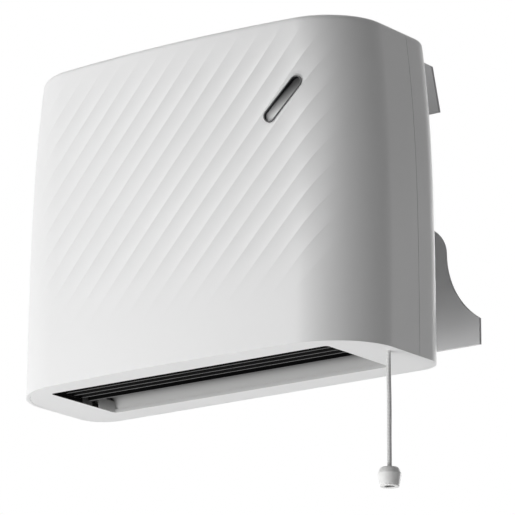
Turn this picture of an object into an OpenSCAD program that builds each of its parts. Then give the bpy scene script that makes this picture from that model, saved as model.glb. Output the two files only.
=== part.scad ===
// Bathroom wall fan heater with a pull cord.
// A ribbed white casing hangs on a grey wall plate and blows warm air down.
// Millimetres. The wall is the plane y = 0, the front faces -Y and +Z is up.
// The origin is on the wall, in the middle of the four fixing holes.

/* [Casing] */
// Width of the casing at its base
body_w = 310; // [296:1:340]
// Height of the casing
body_h = 236; // [228:1:260]
// Depth of the casing at its base, in the middle
body_d = 120; // [118:1:135]
// Thickness of the moulded walls
wall = 2.5; // [2:0.1:3.2]
// Radius of the two front corners
front_corner_r = 47.5; // [38:0.5:52]
// How much smaller the front corner radius is at the top
corner_shrink = 4.4; // [0:0.1:8]
// Radius of the two rear corners
rear_corner_r = 20.7; // [14:0.1:26]
// How far each side leans in at the top
side_taper = 9.4; // [0:0.1:14]
// How late up the side the taper begins
taper_power = 3.5; // [1:0.1:5]
// How far the front leans back at the top
front_lean = 4.2; // [0:0.1:8]
// How far the front is bowed at its base, from the middle to the sides
bow_base = 8.6; // [0:0.1:12]
// How far the front is bowed at its top
bow_top = 12; // [0:0.1:14]
// Radius of the edge round the top
top_edge_r = 4; // [2:0.1:6]
// Distance of the cover joint from the back of the casing
seam_depth = 35; // [30:0.5:40]
// Gap between two covers or panels that meet
fit_gap = 0.2; // [0.1:0.05:0.3]

/* [Diagonal ribs] */
// Distance between two ribs, measured across the front
rib_pitch = 17.9; // [14:0.1:22]
// Depth of the hollow between two ribs
rib_depth = 0.9; // [0.3:0.1:1.4]
// Steepness of the ribs
rib_angle = 48.5; // [35:0.5:60]
// How far the ribs are shifted along the front
rib_shift = 1.3; // [0:0.1:4]
// Height at which the ribs have faded out
rib_bottom = 28; // [20:1:60]
// Height over which the ribs fade at the bottom
rib_fade = 60; // [15:1:70]
// Height over which they fade at the top
rib_top_fade = 40; // [15:1:60]

/* [Indicator window] */
// Distance of the window's middle from the side of the casing
window_side = 60.1; // [57:0.1:90]
// Distance of the window's middle below the top of the casing
window_drop = 59.4; // [51:0.1:120]
// Length of the window
window_l = 39; // [30:0.5:60]
// Width of the window
window_w = 9.7; // [7:0.1:13]
// Slope of the window
window_angle = 45.6; // [0:0.1:90]
// Width of the dark rim round the lens
bezel_w = 0.8; // [0.7:0.1:2]

/* [Air outlet] */
// Distance of the outlet's ends from the sides of the casing
outlet_side = 34; // [31:0.5:45]
// Depth of the outlet opening, front to back
outlet_d = 75; // [70:0.5:77]
// Radius of the outlet's corners
outlet_r = 3; // [1:0.5:6]
// Width of the base rim in front of the outlet
outlet_rim = 22.7; // [20:0.1:25]
// Thickness of the base panel
base_t = 3; // [2:0.1:3.5]
// Depth of the louvre, front to back
louvre_d = 46.3; // [44:0.1:48]
// Height of the louvre
louvre_h = 11; // [9:0.5:14]
// Number of louvre slats
slat_count = 4; // [3:1:5]
// Thickness of a slat
slat_t = 1.4; // [1:0.1:2]
// Angle by which the slats lean
slat_lean = 20; // [0:1:30]
// Thickness of the air deflector
deflector_t = 2; // [1.5:0.1:2.5]
// Length of the walls that close the deflector's ends
cheek_d = 20; // [12:0.5:24]

/* [Wall plate] */
// Distance of the casing's back from the wall
stand_off = 43; // [36:0.5:50]
// Thickness of the wall plate
plate_t = 2.5; // [2:0.1:3]
// How far the wall plate's foot reaches past each side of the casing
foot_reach = 0; // [0:0.5:8]
// Height of the foot's lower edge above the casing's base
foot_z = 23.9; // [10:0.1:26]
// Height of the straight side of the foot
foot_h = 19.1; // [12:0.1:22]
// Radius of the hollow flank above the foot
flank_r = 61; // [50:0.5:64]
// How far the lower corners of the head stay inside the sides of the casing
head_inset = 31.9; // [25:0.1:36]
// How much further inside its upper corners are
head_taper = 6.2; // [0:0.1:8]
// Height of the head
head_h = 39.7; // [36:0.1:46]
// How far the head rises above the casing
head_rise = 4.5; // [2:0.5:14]
// How far the waist stays inside the sides of the casing
waist_inset = 55; // [47:0.5:60]
// Distance of the fixing holes from the sides of the casing
fixing_side = 55; // [50:0.5:65]
// Distance of the upper fixing holes below the plate's top
fixing_drop = 20.5; // [18:0.5:24]
// Height of the lower fixing holes above the casing's base
fixing_z = 36; // [34:0.5:38]
// Diameter of a fixing hole
fixing_hole_d = 5.5; // [4.5:0.1:6.5]
// Distance between the hook arms
arm_spacing = 150; // [140:1:156]
// Height of a hook arm
arm_h = 24; // [20:0.5:28]

/* [Fan and motor] */
// Diameter of the cross-flow fan
fan_d = 60; // [56:0.5:62]
// Number of fan blades
fan_blades = 28; // [20:1:32]
// Thickness of a fan blade
blade_t = 0.8; // [0.6:0.1:1]
// Distance of the fan's axis below the top of the casing
fan_drop = 86; // [82:0.5:90]
// How far the duct's left end lies inside the outlet's end
duct_inset = 5; // [3:0.5:10]
// Distance from the fan's right end to the side of the casing
motor_room = 81; // [76:0.5:92]
// Diameter of the fan shaft
shaft_d = 6; // [5:0.1:7]
// Clearance all round a turning shaft
running_gap = 0.05; // [0.03:0.01:0.08]
// Thickness of the sheet round the fan
sheet_t = 1.2; // [0.8:0.1:1.5]
// Gap between the fan and the sheet round it
fan_gap = 4; // [3:0.5:5]
// Length of the motor's stack of plates
stack_l = 22; // [18:1:26]
// Diameter of the motor's rotor
rotor_d = 26; // [24:0.5:28]

/* [Heating element] */
// Height of the element's lower edge above the base
element_z = 58; // [50:1:66]
// Height of the heating element
element_h = 34; // [28:1:40]
// Number of ribbons
ribbon_count = 3; // [2:1:3]
// Number of folds in a ribbon
ribbon_folds = 24; // [16:1:30]

/* [Pull cord] */
// Diameter of the pull cord
cord_d = 3.2; // [2.6:0.1:3.4]
// Distance of the cord from the side of the casing
cord_side = 9; // [8.8:0.1:11]
// Distance of the cord from the front of the casing
cord_y = 60; // [56:0.5:62]
// Travel of the cord
cord_travel = 10; // [8:0.5:11]
// Diameter of the acorn
acorn_d = 16; // [13:0.1:18]
// Height of the acorn
acorn_h = 13.4; // [12.5:0.1:16]

/* [Hidden] */

$fn = 48;
clear = 0.15;                       // gap between pieces that only lie beside each other
over = 1;                           // how far a cutter runs past what it cuts
press_gap = 0.02;                   // gap all round a piece that is pressed on another
back_y = -stand_off;                // back of the casing
front_mid_y = back_y - body_d;      // middle of the casing's front, at its base
seam_y = back_y - seam_depth;       // joint of the two covers
outlet_w = body_w - 2 * outlet_side;
head_z = body_h + head_rise;        // top of the wall plate
fixing_w = body_w - 2 * fixing_side;
fixing_h = head_z - fixing_drop - fixing_z;
fixing_mid_z = fixing_z + fixing_h / 2;

// Round bars and cutters that lie along X or Y
module along_x(d, l, d2 = -1) {
    rotate([0, 90, 0])
        cylinder(d1 = d, d2 = d2 < 0 ? d : d2, h = l);
}
module along_y(d, l, d2 = -1) {
    rotate([-90, 0, 0])
        cylinder(d1 = d, d2 = d2 < 0 ? d : d2, h = l);
}
// A profile drawn in Y and Z, drawn out along X
module extrude_x(l) {
    rotate([90, 0, 90])
        linear_extrude(l)
            children();
}
// A profile drawn in X and Z, drawn out along Y
module extrude_y(l) {
    translate([0, l, 0])
        rotate([90, 0, 0])
            linear_extrude(l)
                children();
}
// The same thing on the left and on the right
module both_sides() {
    children();
    mirror([1, 0, 0])
        children();
}
// Lowers what was drawn from the casing's base to the part's own origin
module placed() {
    translate([0, 0, -fixing_mid_z])
        children();
}

// ---- Outline of the casing at height z above its base, set in by n ----
function up(z) = min(max(z / body_h, 0), 1);
function half_w(z) = body_w / 2 - side_taper * pow(up(z), taper_power);
function front_y(z) = front_mid_y + front_lean * up(z);
function corner_r(z) = front_corner_r - corner_shrink * up(z);
function bow(z) = bow_base + (bow_top - bow_base) * up(z);
function bowed(x, y, z) =
    y + bow(z) * pow(x / half_w(z), 2) * min(max((back_y - y) / body_d, 0), 1);
function front_half(z) = half_w(z) - corner_r(z);

// Points from the seam on the right, round the front, to the seam on the left
function corner_pt(a, z, n) =
    let (r = corner_r(z), x = front_half(z) + (r - n) * cos(a), y = front_y(z) + r - (r - n) * sin(a))
    [x, bowed(x, y, z)];
function side_pt(s, z, n) =
    let (x = half_w(z) - n, y0 = front_y(z) + corner_r(z))
    [x, s == 0 ? seam_y : bowed(x, seam_y + (y0 - seam_y) * s, z)];
function mid_pt(u, z, n) =
    let (x = u * front_half(z))
    [x, bowed(x, front_y(z) + n, z)];
function front_right(z, n, sides, corners) = concat(
    [for (i = [0:sides - 1]) side_pt(i / sides, z, n)],
    [for (i = [0:corners - 1]) corner_pt(90 * i / corners, z, n)]);
function flipped(pts) = [for (i = [len(pts) - 1:-1:0]) [-pts[i][0], pts[i][1]]];
function front_row(z, n, sides, corners, mids) = concat(
    front_right(z, n, sides, corners),
    [for (i = [0:mids]) mid_pt(1 - 2 * i / mids, z, n)],
    flipped(front_right(z, n, sides, corners)));

// Points from the seam on the left, round the back, to the seam on the right
function rear_left(z, n, corners) = concat(
    [[-half_w(z) + n, seam_y]],
    [for (i = [0:corners])
        let (a = 90 * i / corners, r = rear_corner_r)
        [-half_w(z) + r - (r - n) * cos(a), back_y - r + (r - n) * sin(a)]]);
function rear_row(z, n, corners) = concat(rear_left(z, n, corners), flipped(rear_left(z, n, corners)));

// Scalloped relief: sharp crests run up to the right, with hollows between them
function smooth(t) = let (c = min(max(t, 0), 1)) c * c * (3 - 2 * c);
function scallop(p) = pow(2 * (p - floor(p)) - 1, 2);
function rib_mask(x, z) =
    smooth((z - rib_bottom) / rib_fade)
    * smooth((front_half(z) + corner_r(z) * 0.45 - abs(x)) / (corner_r(z) * 0.6))
    * smooth((body_h - z) / rib_top_fade)
    * (x < 0 ? smooth((half_w(z) + x) / half_w(z) * 2.2) : 1);
// The grid has three columns to a rib, and its diagonals follow the crests
flat_half = front_half(0);
rib_cols = 2 * round(3 * flat_half / rib_pitch);
col_w = 2 * flat_half / rib_cols;
row_h = col_w * tan(rib_angle);
first_row = (col_w - rib_shift) * tan(rib_angle);
function relief(u, x, z) =
    rib_depth * rib_mask(x, z) * (scallop((u - rib_shift - z / tan(rib_angle)) / (3 * col_w)) - 1);
function ribbed(row, z) = [for (p = row)
    [p[0], p[1] - relief(p[0] / front_half(z) * flat_half, p[0], z)]];

// Closed shell between an outer and an inner stack of open rows that end at the seam
function lift(row, z) = [for (p = row) [p[0], p[1], z]];
function flat(rows) = [for (r = rows) for (p = r) p];
function grid_faces(rows, cols, first, out) = [for (j = [0:rows - 2]) for (i = [0:cols - 2])
    let (a = first + j * cols + i, b = a + 1, c = a + cols, d = c + 1)
    each out ? [[a, b, c], [b, d, c]] : [[a, c, b], [b, c, d]]];
function back(list) = [for (i = [len(list) - 1:-1:0]) list[i]];
// Triangles between two lines of points with different numbers of points
function zip_faces(a, b) =
    let (na = len(a) - 1, nb = len(b) - 1,
         at_b = [for (i = [0:na - 1]) floor((i + 0.5) / na * nb + 0.5)])
    concat(
        [for (i = [0:na - 1]) [a[i], a[i + 1], b[at_b[i]]]],
        [for (k = [0:nb - 1]) [b[k + 1], b[k], a[len([for (f = at_b) if (f <= k) 1])]]]);
// A fan of triangles from the middle point to a closed row
function fan_faces(mid, row, up) = [for (i = [0:len(row) - 1])
    let (a = row[i], b = row[(i + 1) % len(row)])
    up ? [mid, a, b] : [mid, b, a]];
module shell(outer, inner, mid_y) {
    no = len(outer);
    ni = len(inner);
    cols = len(outer[0]);
    start = no * cols;
    mid = start + ni * cols;
    outer_top = [for (i = [0:cols - 1]) (no - 1) * cols + i];
    inner_top = [for (i = [0:cols - 1]) start + (ni - 1) * cols + i];
    first_out = [for (j = [0:no - 1]) j * cols];
    last_out = [for (j = [no - 1:-1:0]) j * cols + cols - 1];
    first_in = [for (j = [0:ni - 1]) start + j * cols];
    last_in = [for (j = [ni - 1:-1:0]) start + j * cols + cols - 1];
    polyhedron(
        points = concat(flat(outer), flat(inner),
            [[0, mid_y, outer[no - 1][0][2]], [0, mid_y, inner[ni - 1][0][2]]]),
        faces = concat(
            grid_faces(no, cols, 0, true),
            grid_faces(ni, cols, start, false),
            [for (i = [0:cols - 2]) each [[i, start + i, i + 1], [i + 1, start + i, start + i + 1]]],
            zip_faces(concat(first_out, last_out), concat(first_in, last_in)),
            fan_faces(mid, outer_top, true),
            fan_faces(mid + 1, inner_top, false)),
        convexity = 6);
}
// Heights of the rows, with the rounded top edge added
function edge_rows(n) = [for (i = [1:n])
    let (a = 90 * i / n) [body_h - top_edge_r * (1 - sin(a)), top_edge_r * (1 - cos(a))]];

// ---- Casing ----
side_cols = 2;
corner_cols = 7;
rear_cols = 8;
edge_steps = 3;
shell_step = 30;                    // height of a row on the plain walls
boss_d = 9;
boss_low_z = 75;
boss_high_z = body_h - 17;
boss_x = half_w(boss_high_z) - rear_corner_r - boss_d / 2;
boss_gap = 3;                       // bosses stop this far in front of the seam
pilot_d = 2.4;                      // hole that a screw cuts its thread in
pilot_l = 18;
screw_hole_d = 3.4;
head_d = 6;
head_l = 2;
// Places of the four screws that hold the covers together
cover_screw_at = [for (z = [boss_low_z, boss_high_z]) for (x = [-boss_x, boss_x]) [x, z]];

module front_shell() {
    row = function(z, n) front_row(z, n, side_cols, corner_cols, rib_cols);
    outer = concat(
        [lift(ribbed(row(0, 0), 0), 0)],
        [for (z = [first_row:row_h:body_h - top_edge_r - 1]) lift(ribbed(row(z, 0), z), z)],
        [for (e = edge_rows(edge_steps)) lift(ribbed(row(e[0], e[1]), e[0]), e[0])]);
    top = body_h - wall;
    steps = ceil(top / shell_step);
    inner = [for (j = [0:steps]) let (z = top * j / steps) lift(row(z, wall), z)];
    shell(outer, inner, (front_mid_y + seam_y) / 2);
}
// Depth of the outer face at any x, corners included
function face_y(x, z) =
    let (r = corner_r(z), dx = max(abs(x) - front_half(z), 0))
    bowed(x, front_y(z) + r - sqrt(r * r - dx * dx), z);
// Frame of the window: origin on the face, Z out of the casing, X along the window
window_x = body_w / 2 - window_side;
window_z = body_h - window_drop;
window_reach = (window_l - window_w) / 2 * cos(window_angle);
window_near_y = face_y(window_x - window_reach, window_z);
window_far_y = face_y(window_x + window_reach, window_z);
window_turn = atan((window_far_y - window_near_y) / (2 * window_reach));
window_tilt = atan(front_lean / body_h);
module at_window(out) {
    translate([window_x, (window_near_y + window_far_y) / 2, window_z])
        rotate([0, 0, window_turn])
            rotate([90 - window_tilt, 0, 0])
                rotate(window_angle)
                    translate([0, 0, out])
                        children();
}
module pill(l, w) {
    for (x = [-1, 1])
        translate([x * (l - w) / 2, 0])
            circle(d = w);
    square([l - w, w], center = true);
}
// A pill that keeps its edge n further out than the window's own
module window_pill(n) {
    pill(window_l + 2 * n, window_w + 2 * n);
}
module front_boss(x, z) {
    start = face_y(abs(x) + boss_d / 2, z) + wall / 2;
    translate([x, start, z])
        along_y(boss_d, seam_y - boss_gap - start);
}
module front_cover() {
    color("white")
        placed()
            difference() {
                union() {
                    front_shell();
                    for (p = cover_screw_at)
                        front_boss(p[0], p[1]);
                }
                at_window(-3 * wall)
                    linear_extrude(6 * wall)
                        window_pill(fit_gap);
                for (p = cover_screw_at)
                    translate([p[0], seam_y - boss_gap - pilot_l, p[1]])
                        along_y(pilot_d, pilot_l + over);
            }
}

// The rear cover wraps the back and carries the intake slots
slot_h = 4;
slot_pitch = 8.8;
slot_l = 100;
slot_low_z = 76;
slot_rib = 12;                      // solid strip between the two columns of slots
rear_in_y = back_y - wall;
hook_play = 0.3;                    // room in a hook's notch for the cover's wall
nose_h = 6;
nose_l = 7;
bevel_l = 3;                        // slope on the nose that guides the casing on
bevel_h = 5;
arm_x = arm_spacing / 2;
arm_top_z = body_h - 32;            // top of the hook arms
notch_z = arm_top_z - nose_h;
hook_slot_h = arm_h + 2;
slot_rows = floor((notch_z - hook_slot_h - slot_h - slot_low_z) / slot_pitch) + 1;
lock_z = 62;                        // height of the locking screws
lock_y = back_y + 8;
lug_l = 15;
lug_w = 8;
lug_h = 14;
lug_end = 1;                        // wall that closes a lug's pilot hole
base_screw_x = 60;
base_screw_z = base_t + 6;
cable_x = -20;
cable_z = body_h - 23;
grommet_d = 14;
cable_hole_d = 8.4;
module rear_shell() {
    row = function(z, n) rear_row(z, n, rear_cols);
    steps = ceil(body_h / shell_step);
    plain = body_h - top_edge_r;
    outer = concat(
        [for (j = [0:steps - 1]) let (z = plain * j / steps) lift(row(z, 0), z)],
        [lift(row(plain, 0), plain)],
        [for (e = edge_rows(edge_steps)) lift(row(e[0], e[1]), e[0])]);
    top = body_h - wall;
    inner = [for (j = [0:steps]) let (z = top * j / steps) lift(row(z, wall), z)];
    shell(outer, inner, (back_y + seam_y) / 2);
}
module rear_cover() {
    pillar_l = rear_in_y - seam_y + boss_gap - fit_gap;
    color("white")
        placed()
            difference() {
                union() {
                    rear_shell();
                    for (p = cover_screw_at)
                        translate([p[0], rear_in_y - pillar_l, p[1]])
                            along_y(boss_d, pillar_l + wall / 2);
                    both_sides()
                        translate([arm_x + plate_t + fit_gap, back_y - wall / 2, lock_z - lug_h / 2])
                            cube([lug_w, lug_l + wall / 2, lug_h]);
                }
                for (p = cover_screw_at)
                    translate([p[0], rear_in_y - pillar_l - over, p[1]])
                        along_y(screw_hole_d, pillar_l + wall + 2 * over);
                for (i = [0:slot_rows - 1])
                    both_sides()
                        translate([slot_rib / 2, rear_in_y - over, slot_low_z + i * slot_pitch])
                            cube([slot_l, wall + 2 * over, slot_h]);
                both_sides()
                    translate([arm_x - fit_gap, rear_in_y - over, notch_z - hook_slot_h])
                        cube([plate_t + 2 * fit_gap, wall + 2 * over, hook_slot_h]);
                both_sides()
                    translate([arm_x, lock_y, lock_z])
                        along_x(pilot_d, plate_t + lug_w - lug_end);
                both_sides()
                    translate([base_screw_x, rear_in_y - over, base_screw_z])
                        along_y(screw_hole_d, wall + 2 * over);
                translate([cable_x, rear_in_y - over, cable_z])
                    along_y(grommet_d, wall + 2 * over);
            }
}

// ---- Base ----
open_y = front_mid_y + outlet_rim;  // front edge of the outlet
open_end_y = open_y + outlet_d;     // rear edge of the outlet
cord_line_y = front_mid_y + cord_y;
cord_x = body_w / 2 - cord_side;
bush_d = cord_d + 3.6;
base_lug_l = 10;
base_lug_w = 12;
module base_outline() {
    n = wall + fit_gap;
    polygon(concat(front_row(0, n, side_cols, corner_cols, rib_cols), rear_row(0, n, rear_cols)));
}
module outlet_outline() {
    for (x = [-1, 1], y = [open_y + outlet_r, open_end_y - outlet_r])
        translate([x * (outlet_w / 2 - outlet_r), y])
            circle(r = outlet_r);
    translate([-outlet_w / 2, open_y + outlet_r])
        square([outlet_w, outlet_d - 2 * outlet_r]);
    translate([-outlet_w / 2 + outlet_r, open_y])
        square([outlet_w - 2 * outlet_r, outlet_d]);
}
module base_panel() {
    color("white")
        placed()
            difference() {
                union() {
                    linear_extrude(base_t)
                        base_outline();
                    both_sides()
                        translate([base_screw_x - base_lug_w / 2, rear_in_y - fit_gap - base_lug_l, 0])
                            cube([base_lug_w, base_lug_l, base_screw_z + base_lug_w / 2]);
                }
                translate([0, 0, -over])
                    linear_extrude(base_t + 2 * over)
                        outlet_outline();
                translate([cord_x, cord_line_y, -over])
                    cylinder(d = bush_d + 2 * running_gap, h = base_t + 2 * over);
                both_sides()
                    translate([base_screw_x, rear_in_y - base_lug_l - over, base_screw_z])
                        along_y(pilot_d, base_lug_l + 2 * over);
            }
}

// ---- Louvre and deflector in the outlet ----
frame_t = 2;
louvre_y = open_y - frame_t;
louvre_end_y = louvre_y + louvre_d;
louvre_top = base_t + louvre_h;
slat_inset = 0.5;                   // slats end this far from the frame's faces
module louvre_slat() {
    extrude_x(outlet_w + frame_t)
        rotate(90 + slat_lean)
            pill(louvre_h - 2 * slat_inset, slat_t);
}
module outlet_louvre() {
    clear_d = louvre_d - 2 * frame_t;
    color("#1c1c1e")
        placed() {
            difference() {
                translate([-outlet_w / 2 - frame_t, louvre_y, base_t])
                    cube([outlet_w + 2 * frame_t, louvre_d, louvre_h]);
                translate([-outlet_w / 2, louvre_y + frame_t, base_t - over])
                    cube([outlet_w, clear_d, louvre_h + 2 * over]);
            }
            for (i = [1:slat_count])
                translate([-outlet_w / 2 - frame_t / 2, louvre_y + frame_t + i * clear_d / (slat_count + 1),
                           base_t + louvre_h / 2])
                    louvre_slat();
        }
}
deflector_y = louvre_end_y + fit_gap;
deflector_r = louvre_h - deflector_t;
deflector_steps = 14;
cheek_h = 5.5;                      // height of the walls at its ends
// Wall that rises from the rear rim and curves forward to the back of the louvre
function sweep(r) = concat(
    [for (i = [0:deflector_steps])
        let (a = 90 * i / deflector_steps)
        [open_end_y - deflector_r + r * cos(a), base_t + r * sin(a)]],
    [[deflector_y, base_t + r]]);
module air_deflector() {
    color("#e8e8e6")
        placed() {
            translate([-outlet_w / 2 - frame_t, 0, 0])
                extrude_x(outlet_w + 2 * frame_t)
                    polygon(concat(sweep(deflector_r), back(sweep(deflector_r + deflector_t))));
            both_sides()
                translate([outlet_w / 2, open_end_y - cheek_d, base_t])
                    cube([frame_t, cheek_d + deflector_t / 2, cheek_h]);
        }
}

// ---- Indicator window ----
lens_t = 2;
bezel_flange_w = 2.5;
bezel_back = wall + 1.2;            // face of the bezel's inner flange
bezel_flange_t = 1.2;
bezel_proud = 0.3;                  // the bezel stands out of the face by this much
bezel_lap = 0.4;                    // ledge that the lens rests on
lens_depth = bezel_back - lens_t;   // the lens lies this far below the face
bezel_depth = bezel_back + bezel_flange_t;
post_d = 3;
post_inset = 1;
board_back = 9;
board_t = 1.6;
board_margin = 2;
lamp_d = 5;
lamp_x = 9;
lamp_base_h = 2;
lamp_rim = 0.2;
module window_bezel() {
    color("#2a2b2d")
        placed() {
            at_window(-bezel_depth)
                linear_extrude(bezel_depth + bezel_proud)
                    difference() {
                        window_pill(0);
                        window_pill(-bezel_w);
                    }
            at_window(-bezel_depth)
                linear_extrude(bezel_flange_t)
                    difference() {
                        window_pill(bezel_flange_w);
                        window_pill(-bezel_w - bezel_lap);
                    }
            for (x = [-1, 1])
                at_window(-board_back)
                    translate([x * (window_l / 2 - post_inset), 0, 0])
                        cylinder(d = post_d, h = board_back - bezel_depth + bezel_flange_t / 2);
        }
}
module window_lens() {
    color("#3a3d40")
        placed()
            at_window(-lens_depth - lens_t)
                linear_extrude(lens_t)
                    window_pill(-bezel_w - running_gap);
}
module indicator_board() {
    color("darkgreen")
        placed()
            at_window(-board_back - board_t)
                linear_extrude(board_t)
                    square([window_l + 2 * board_margin, window_w + 2 * board_margin], center = true);
}
module indicator_lamps() {
    color("#d86a3c")
        placed()
            for (x = [-lamp_x, lamp_x])
                at_window(-board_back)
                    translate([x, 0, 0]) {
                        cylinder(d = lamp_d, h = lamp_base_h);
                        translate([0, 0, lamp_base_h])
                            difference() {
                                sphere(d = lamp_d - 2 * lamp_rim);
                                translate([0, 0, -lamp_d - lamp_base_h / 2])
                                    cube(2 * lamp_d, center = true);
                            }
                    }
}

// ---- Wall plate ----
foot_w = body_w + 2 * foot_reach;
head_w = body_w - 2 * head_inset;
head_top_w = head_w - 2 * head_taper;
waist_w = body_w - 2 * waist_inset;
neck_x = foot_w / 2 - 28;           // half the width where the flank is upright
foot_top_z = foot_z + foot_h;
flank_mid_z = foot_top_z + sqrt(pow(flank_r, 2) - pow(neck_x + flank_r - foot_w / 2, 2));
flank_start = acos((neck_x + flank_r - foot_w / 2) / flank_r);
shoulder_h = 24;
head_cut_w = 6.4;                   // cut across the upper corners of the head
head_cut_h = 4;
flank_steps = 16;
function arc(x, z, rx, rz, from, to, steps) = [for (i = [0:steps])
    let (a = from + (to - from) * i / steps) [x + rx * cos(a), z + rz * sin(a)]];
function plate_side() = concat(
    [[foot_w / 2, foot_z]],
    arc(neck_x + flank_r, flank_mid_z, -flank_r, -flank_r, flank_start, 0, flank_steps),
    arc(waist_w / 2, flank_mid_z, neck_x - waist_w / 2, shoulder_h, 0, 90, flank_steps),
    [[waist_w / 2, head_z - head_h], [head_w / 2, head_z - head_h],
     [head_top_w / 2, head_z - head_cut_h], [head_top_w / 2 - head_cut_w, head_z]]);
module plate_outline() {
    side = plate_side();
    polygon(concat(side, flipped(side)));
}
// Arm that the casing hangs on: its notch takes the rear cover's wall
module hook_arm() {
    extrude_x(plate_t)
        polygon([
            [-plate_t / 2, arm_top_z - arm_h], [-plate_t / 2, arm_top_z],
            [back_y + hook_play, arm_top_z], [back_y + hook_play, notch_z],
            [rear_in_y - hook_play, notch_z], [rear_in_y - hook_play, arm_top_z],
            [rear_in_y - nose_l + bevel_l, arm_top_z], [rear_in_y - nose_l, arm_top_z - bevel_h],
            [rear_in_y - nose_l, arm_top_z - arm_h]]);
}
// Arm that a locking screw passes through
module lock_arm() {
    difference() {
        translate([0, back_y + hook_play, lock_z - arm_h / 2])
            cube([plate_t, stand_off - hook_play - plate_t / 2, arm_h]);
        translate([-over, lock_y, lock_z])
            along_x(screw_hole_d, plate_t + 2 * over);
    }
}
cable_window_w = 44;
cable_window_h = 16;
module wall_plate() {
    color("#858585")
        placed() {
            translate([0, -plate_t, 0])
                extrude_y(plate_t)
                    difference() {
                        plate_outline();
                        for (x = [-1, 1], z = [0, 1])
                            translate([x * fixing_w / 2, fixing_z + z * fixing_h])
                                circle(d = fixing_hole_d);
                        translate([cable_x, cable_z])
                            pill(cable_window_w, cable_window_h);
                    }
            both_sides()
                translate([arm_x, 0, 0]) {
                    hook_arm();
                    lock_arm();
                }
        }
}

// ---- Screws ----
recess_w = 0.8;                     // arms of the cross in a screw's head
recess_t = 1;
// Pan head at the origin, with its thread running down at the size of the pilot hole
module screw_in_pilot(l) {
    translate([0, 0, -l])
        cylinder(d = pilot_d - 2 * running_gap, h = l);
    difference() {
        cylinder(d1 = head_d, d2 = head_d - 1, h = head_l);
        for (a = [0, 90])
            rotate(a)
                translate([-head_d / 4, -recess_w / 2, head_l - recess_t])
                    cube([head_d / 2, recess_w, recess_t + over]);
    }
}
cover_grip = 8;                     // length of thread in a boss
cover_screw_l = seam_depth + boss_gap + cover_grip;
base_screw_l = 10;
module cover_screws() {
    color("silver")
        placed() {
            for (p = cover_screw_at)
                translate([p[0], back_y, p[1]])
                    rotate([-90, 0, 0])
                        screw_in_pilot(cover_screw_l);
            for (x = [-base_screw_x, base_screw_x])
                translate([x, back_y, base_screw_z])
                    rotate([-90, 0, 0])
                        screw_in_pilot(base_screw_l);
        }
}
module locking_screws() {
    color("silver")
        placed()
            both_sides()
                translate([arm_x, lock_y, lock_z])
                    rotate([0, -90, 0])
                        screw_in_pilot(plate_t + lug_w - 2 * lug_end);
}
lip_t = 2;
lip_w = 2;
// Rubber ring that sits in a hole, with a lip on each side of the sheet
module grommet(hole, bore, sheet) {
    difference() {
        union() {
            cylinder(d = hole - 2 * running_gap, h = sheet + 2 * lip_t);
            for (z = [0, lip_t + sheet])
                translate([0, 0, z])
                    cylinder(d = hole + 2 * lip_w, h = lip_t);
        }
        translate([0, 0, -over])
            cylinder(d = bore, h = sheet + 2 * lip_t + 2 * over);
    }
}
module cable_grommet() {
    color("#303030")
        placed()
            translate([cable_x, back_y + lip_t, cable_z])
                rotate([90, 0, 0])
                    grommet(grommet_d, cable_hole_d, wall);
}

// ---- Fan ----
fan_y = (rear_in_y + open_y) / 2;   // midway between the rear wall and the outlet's front edge
fan_z = body_h - fan_drop;
fan_r = fan_d / 2;
side_gap = 4;                       // gap between the fan's ends and the end plates
duct_x = duct_inset - outlet_w / 2; // inner face of the left end plate
fan_x = duct_x + side_gap;
fan_end_x = body_w / 2 - motor_room;
fan_l = fan_end_x - fan_x;
duct_l = fan_l + 2 * side_gap;
duct_end_x = duct_x + duct_l;
scroll_y = louvre_y + frame_t / 2;  // middle of the sheet down the front of the duct
tongue_y = louvre_end_y - frame_t / 2;
sheet_r = fan_r + fan_gap;
scroll_start = 25;
scroll_steps = 20;
function polar(r, a) = [fan_y + r * cos(a), fan_z + r * sin(a)];
function scroll_r(a) =
    sheet_r + (fan_y - scroll_y - sheet_r) * (a - scroll_start) / (180 - scroll_start);
function scroll_path(n) = [for (i = [0:scroll_steps])
    let (a = scroll_start + (180 - scroll_start) * i / scroll_steps) polar(scroll_r(a) + n, a)];
tongue_end = 60;                    // the tongue's lip runs on under the fan, behind its axis
tongue_steps = 8;
// Angle at which the face n behind the middle of the sheet turns into its lip
function tongue_start(n) = acos((tongue_y + n - fan_y) / (sheet_r + n));
function tongue_path(n) = [for (i = [0:tongue_steps])
    let (a = tongue_start(n) + (tongue_end - tongue_start(n)) * i / tongue_steps)
    polar(sheet_r + n, -a)];
module fan_scroll() {
    half = sheet_t / 2;
    color("silver")
        placed()
            translate([duct_x, 0, 0])
                extrude_x(duct_l)
                    polygon(concat(
                        scroll_path(half), [[scroll_y - half, louvre_top], [scroll_y + half, louvre_top]],
                        back(scroll_path(-half))));
}
module fan_tongue() {
    half = sheet_t / 2;
    color("silver")
        placed()
            translate([duct_x, 0, 0])
                extrude_x(duct_l)
                    polygon(concat(
                        tongue_path(half), back(tongue_path(-half)),
                        [[tongue_y - half, louvre_top], [tongue_y + half, louvre_top]]));
}
plate_rim = 4;
plate_round = 2;                    // rim of the end plates behind the fan
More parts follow.
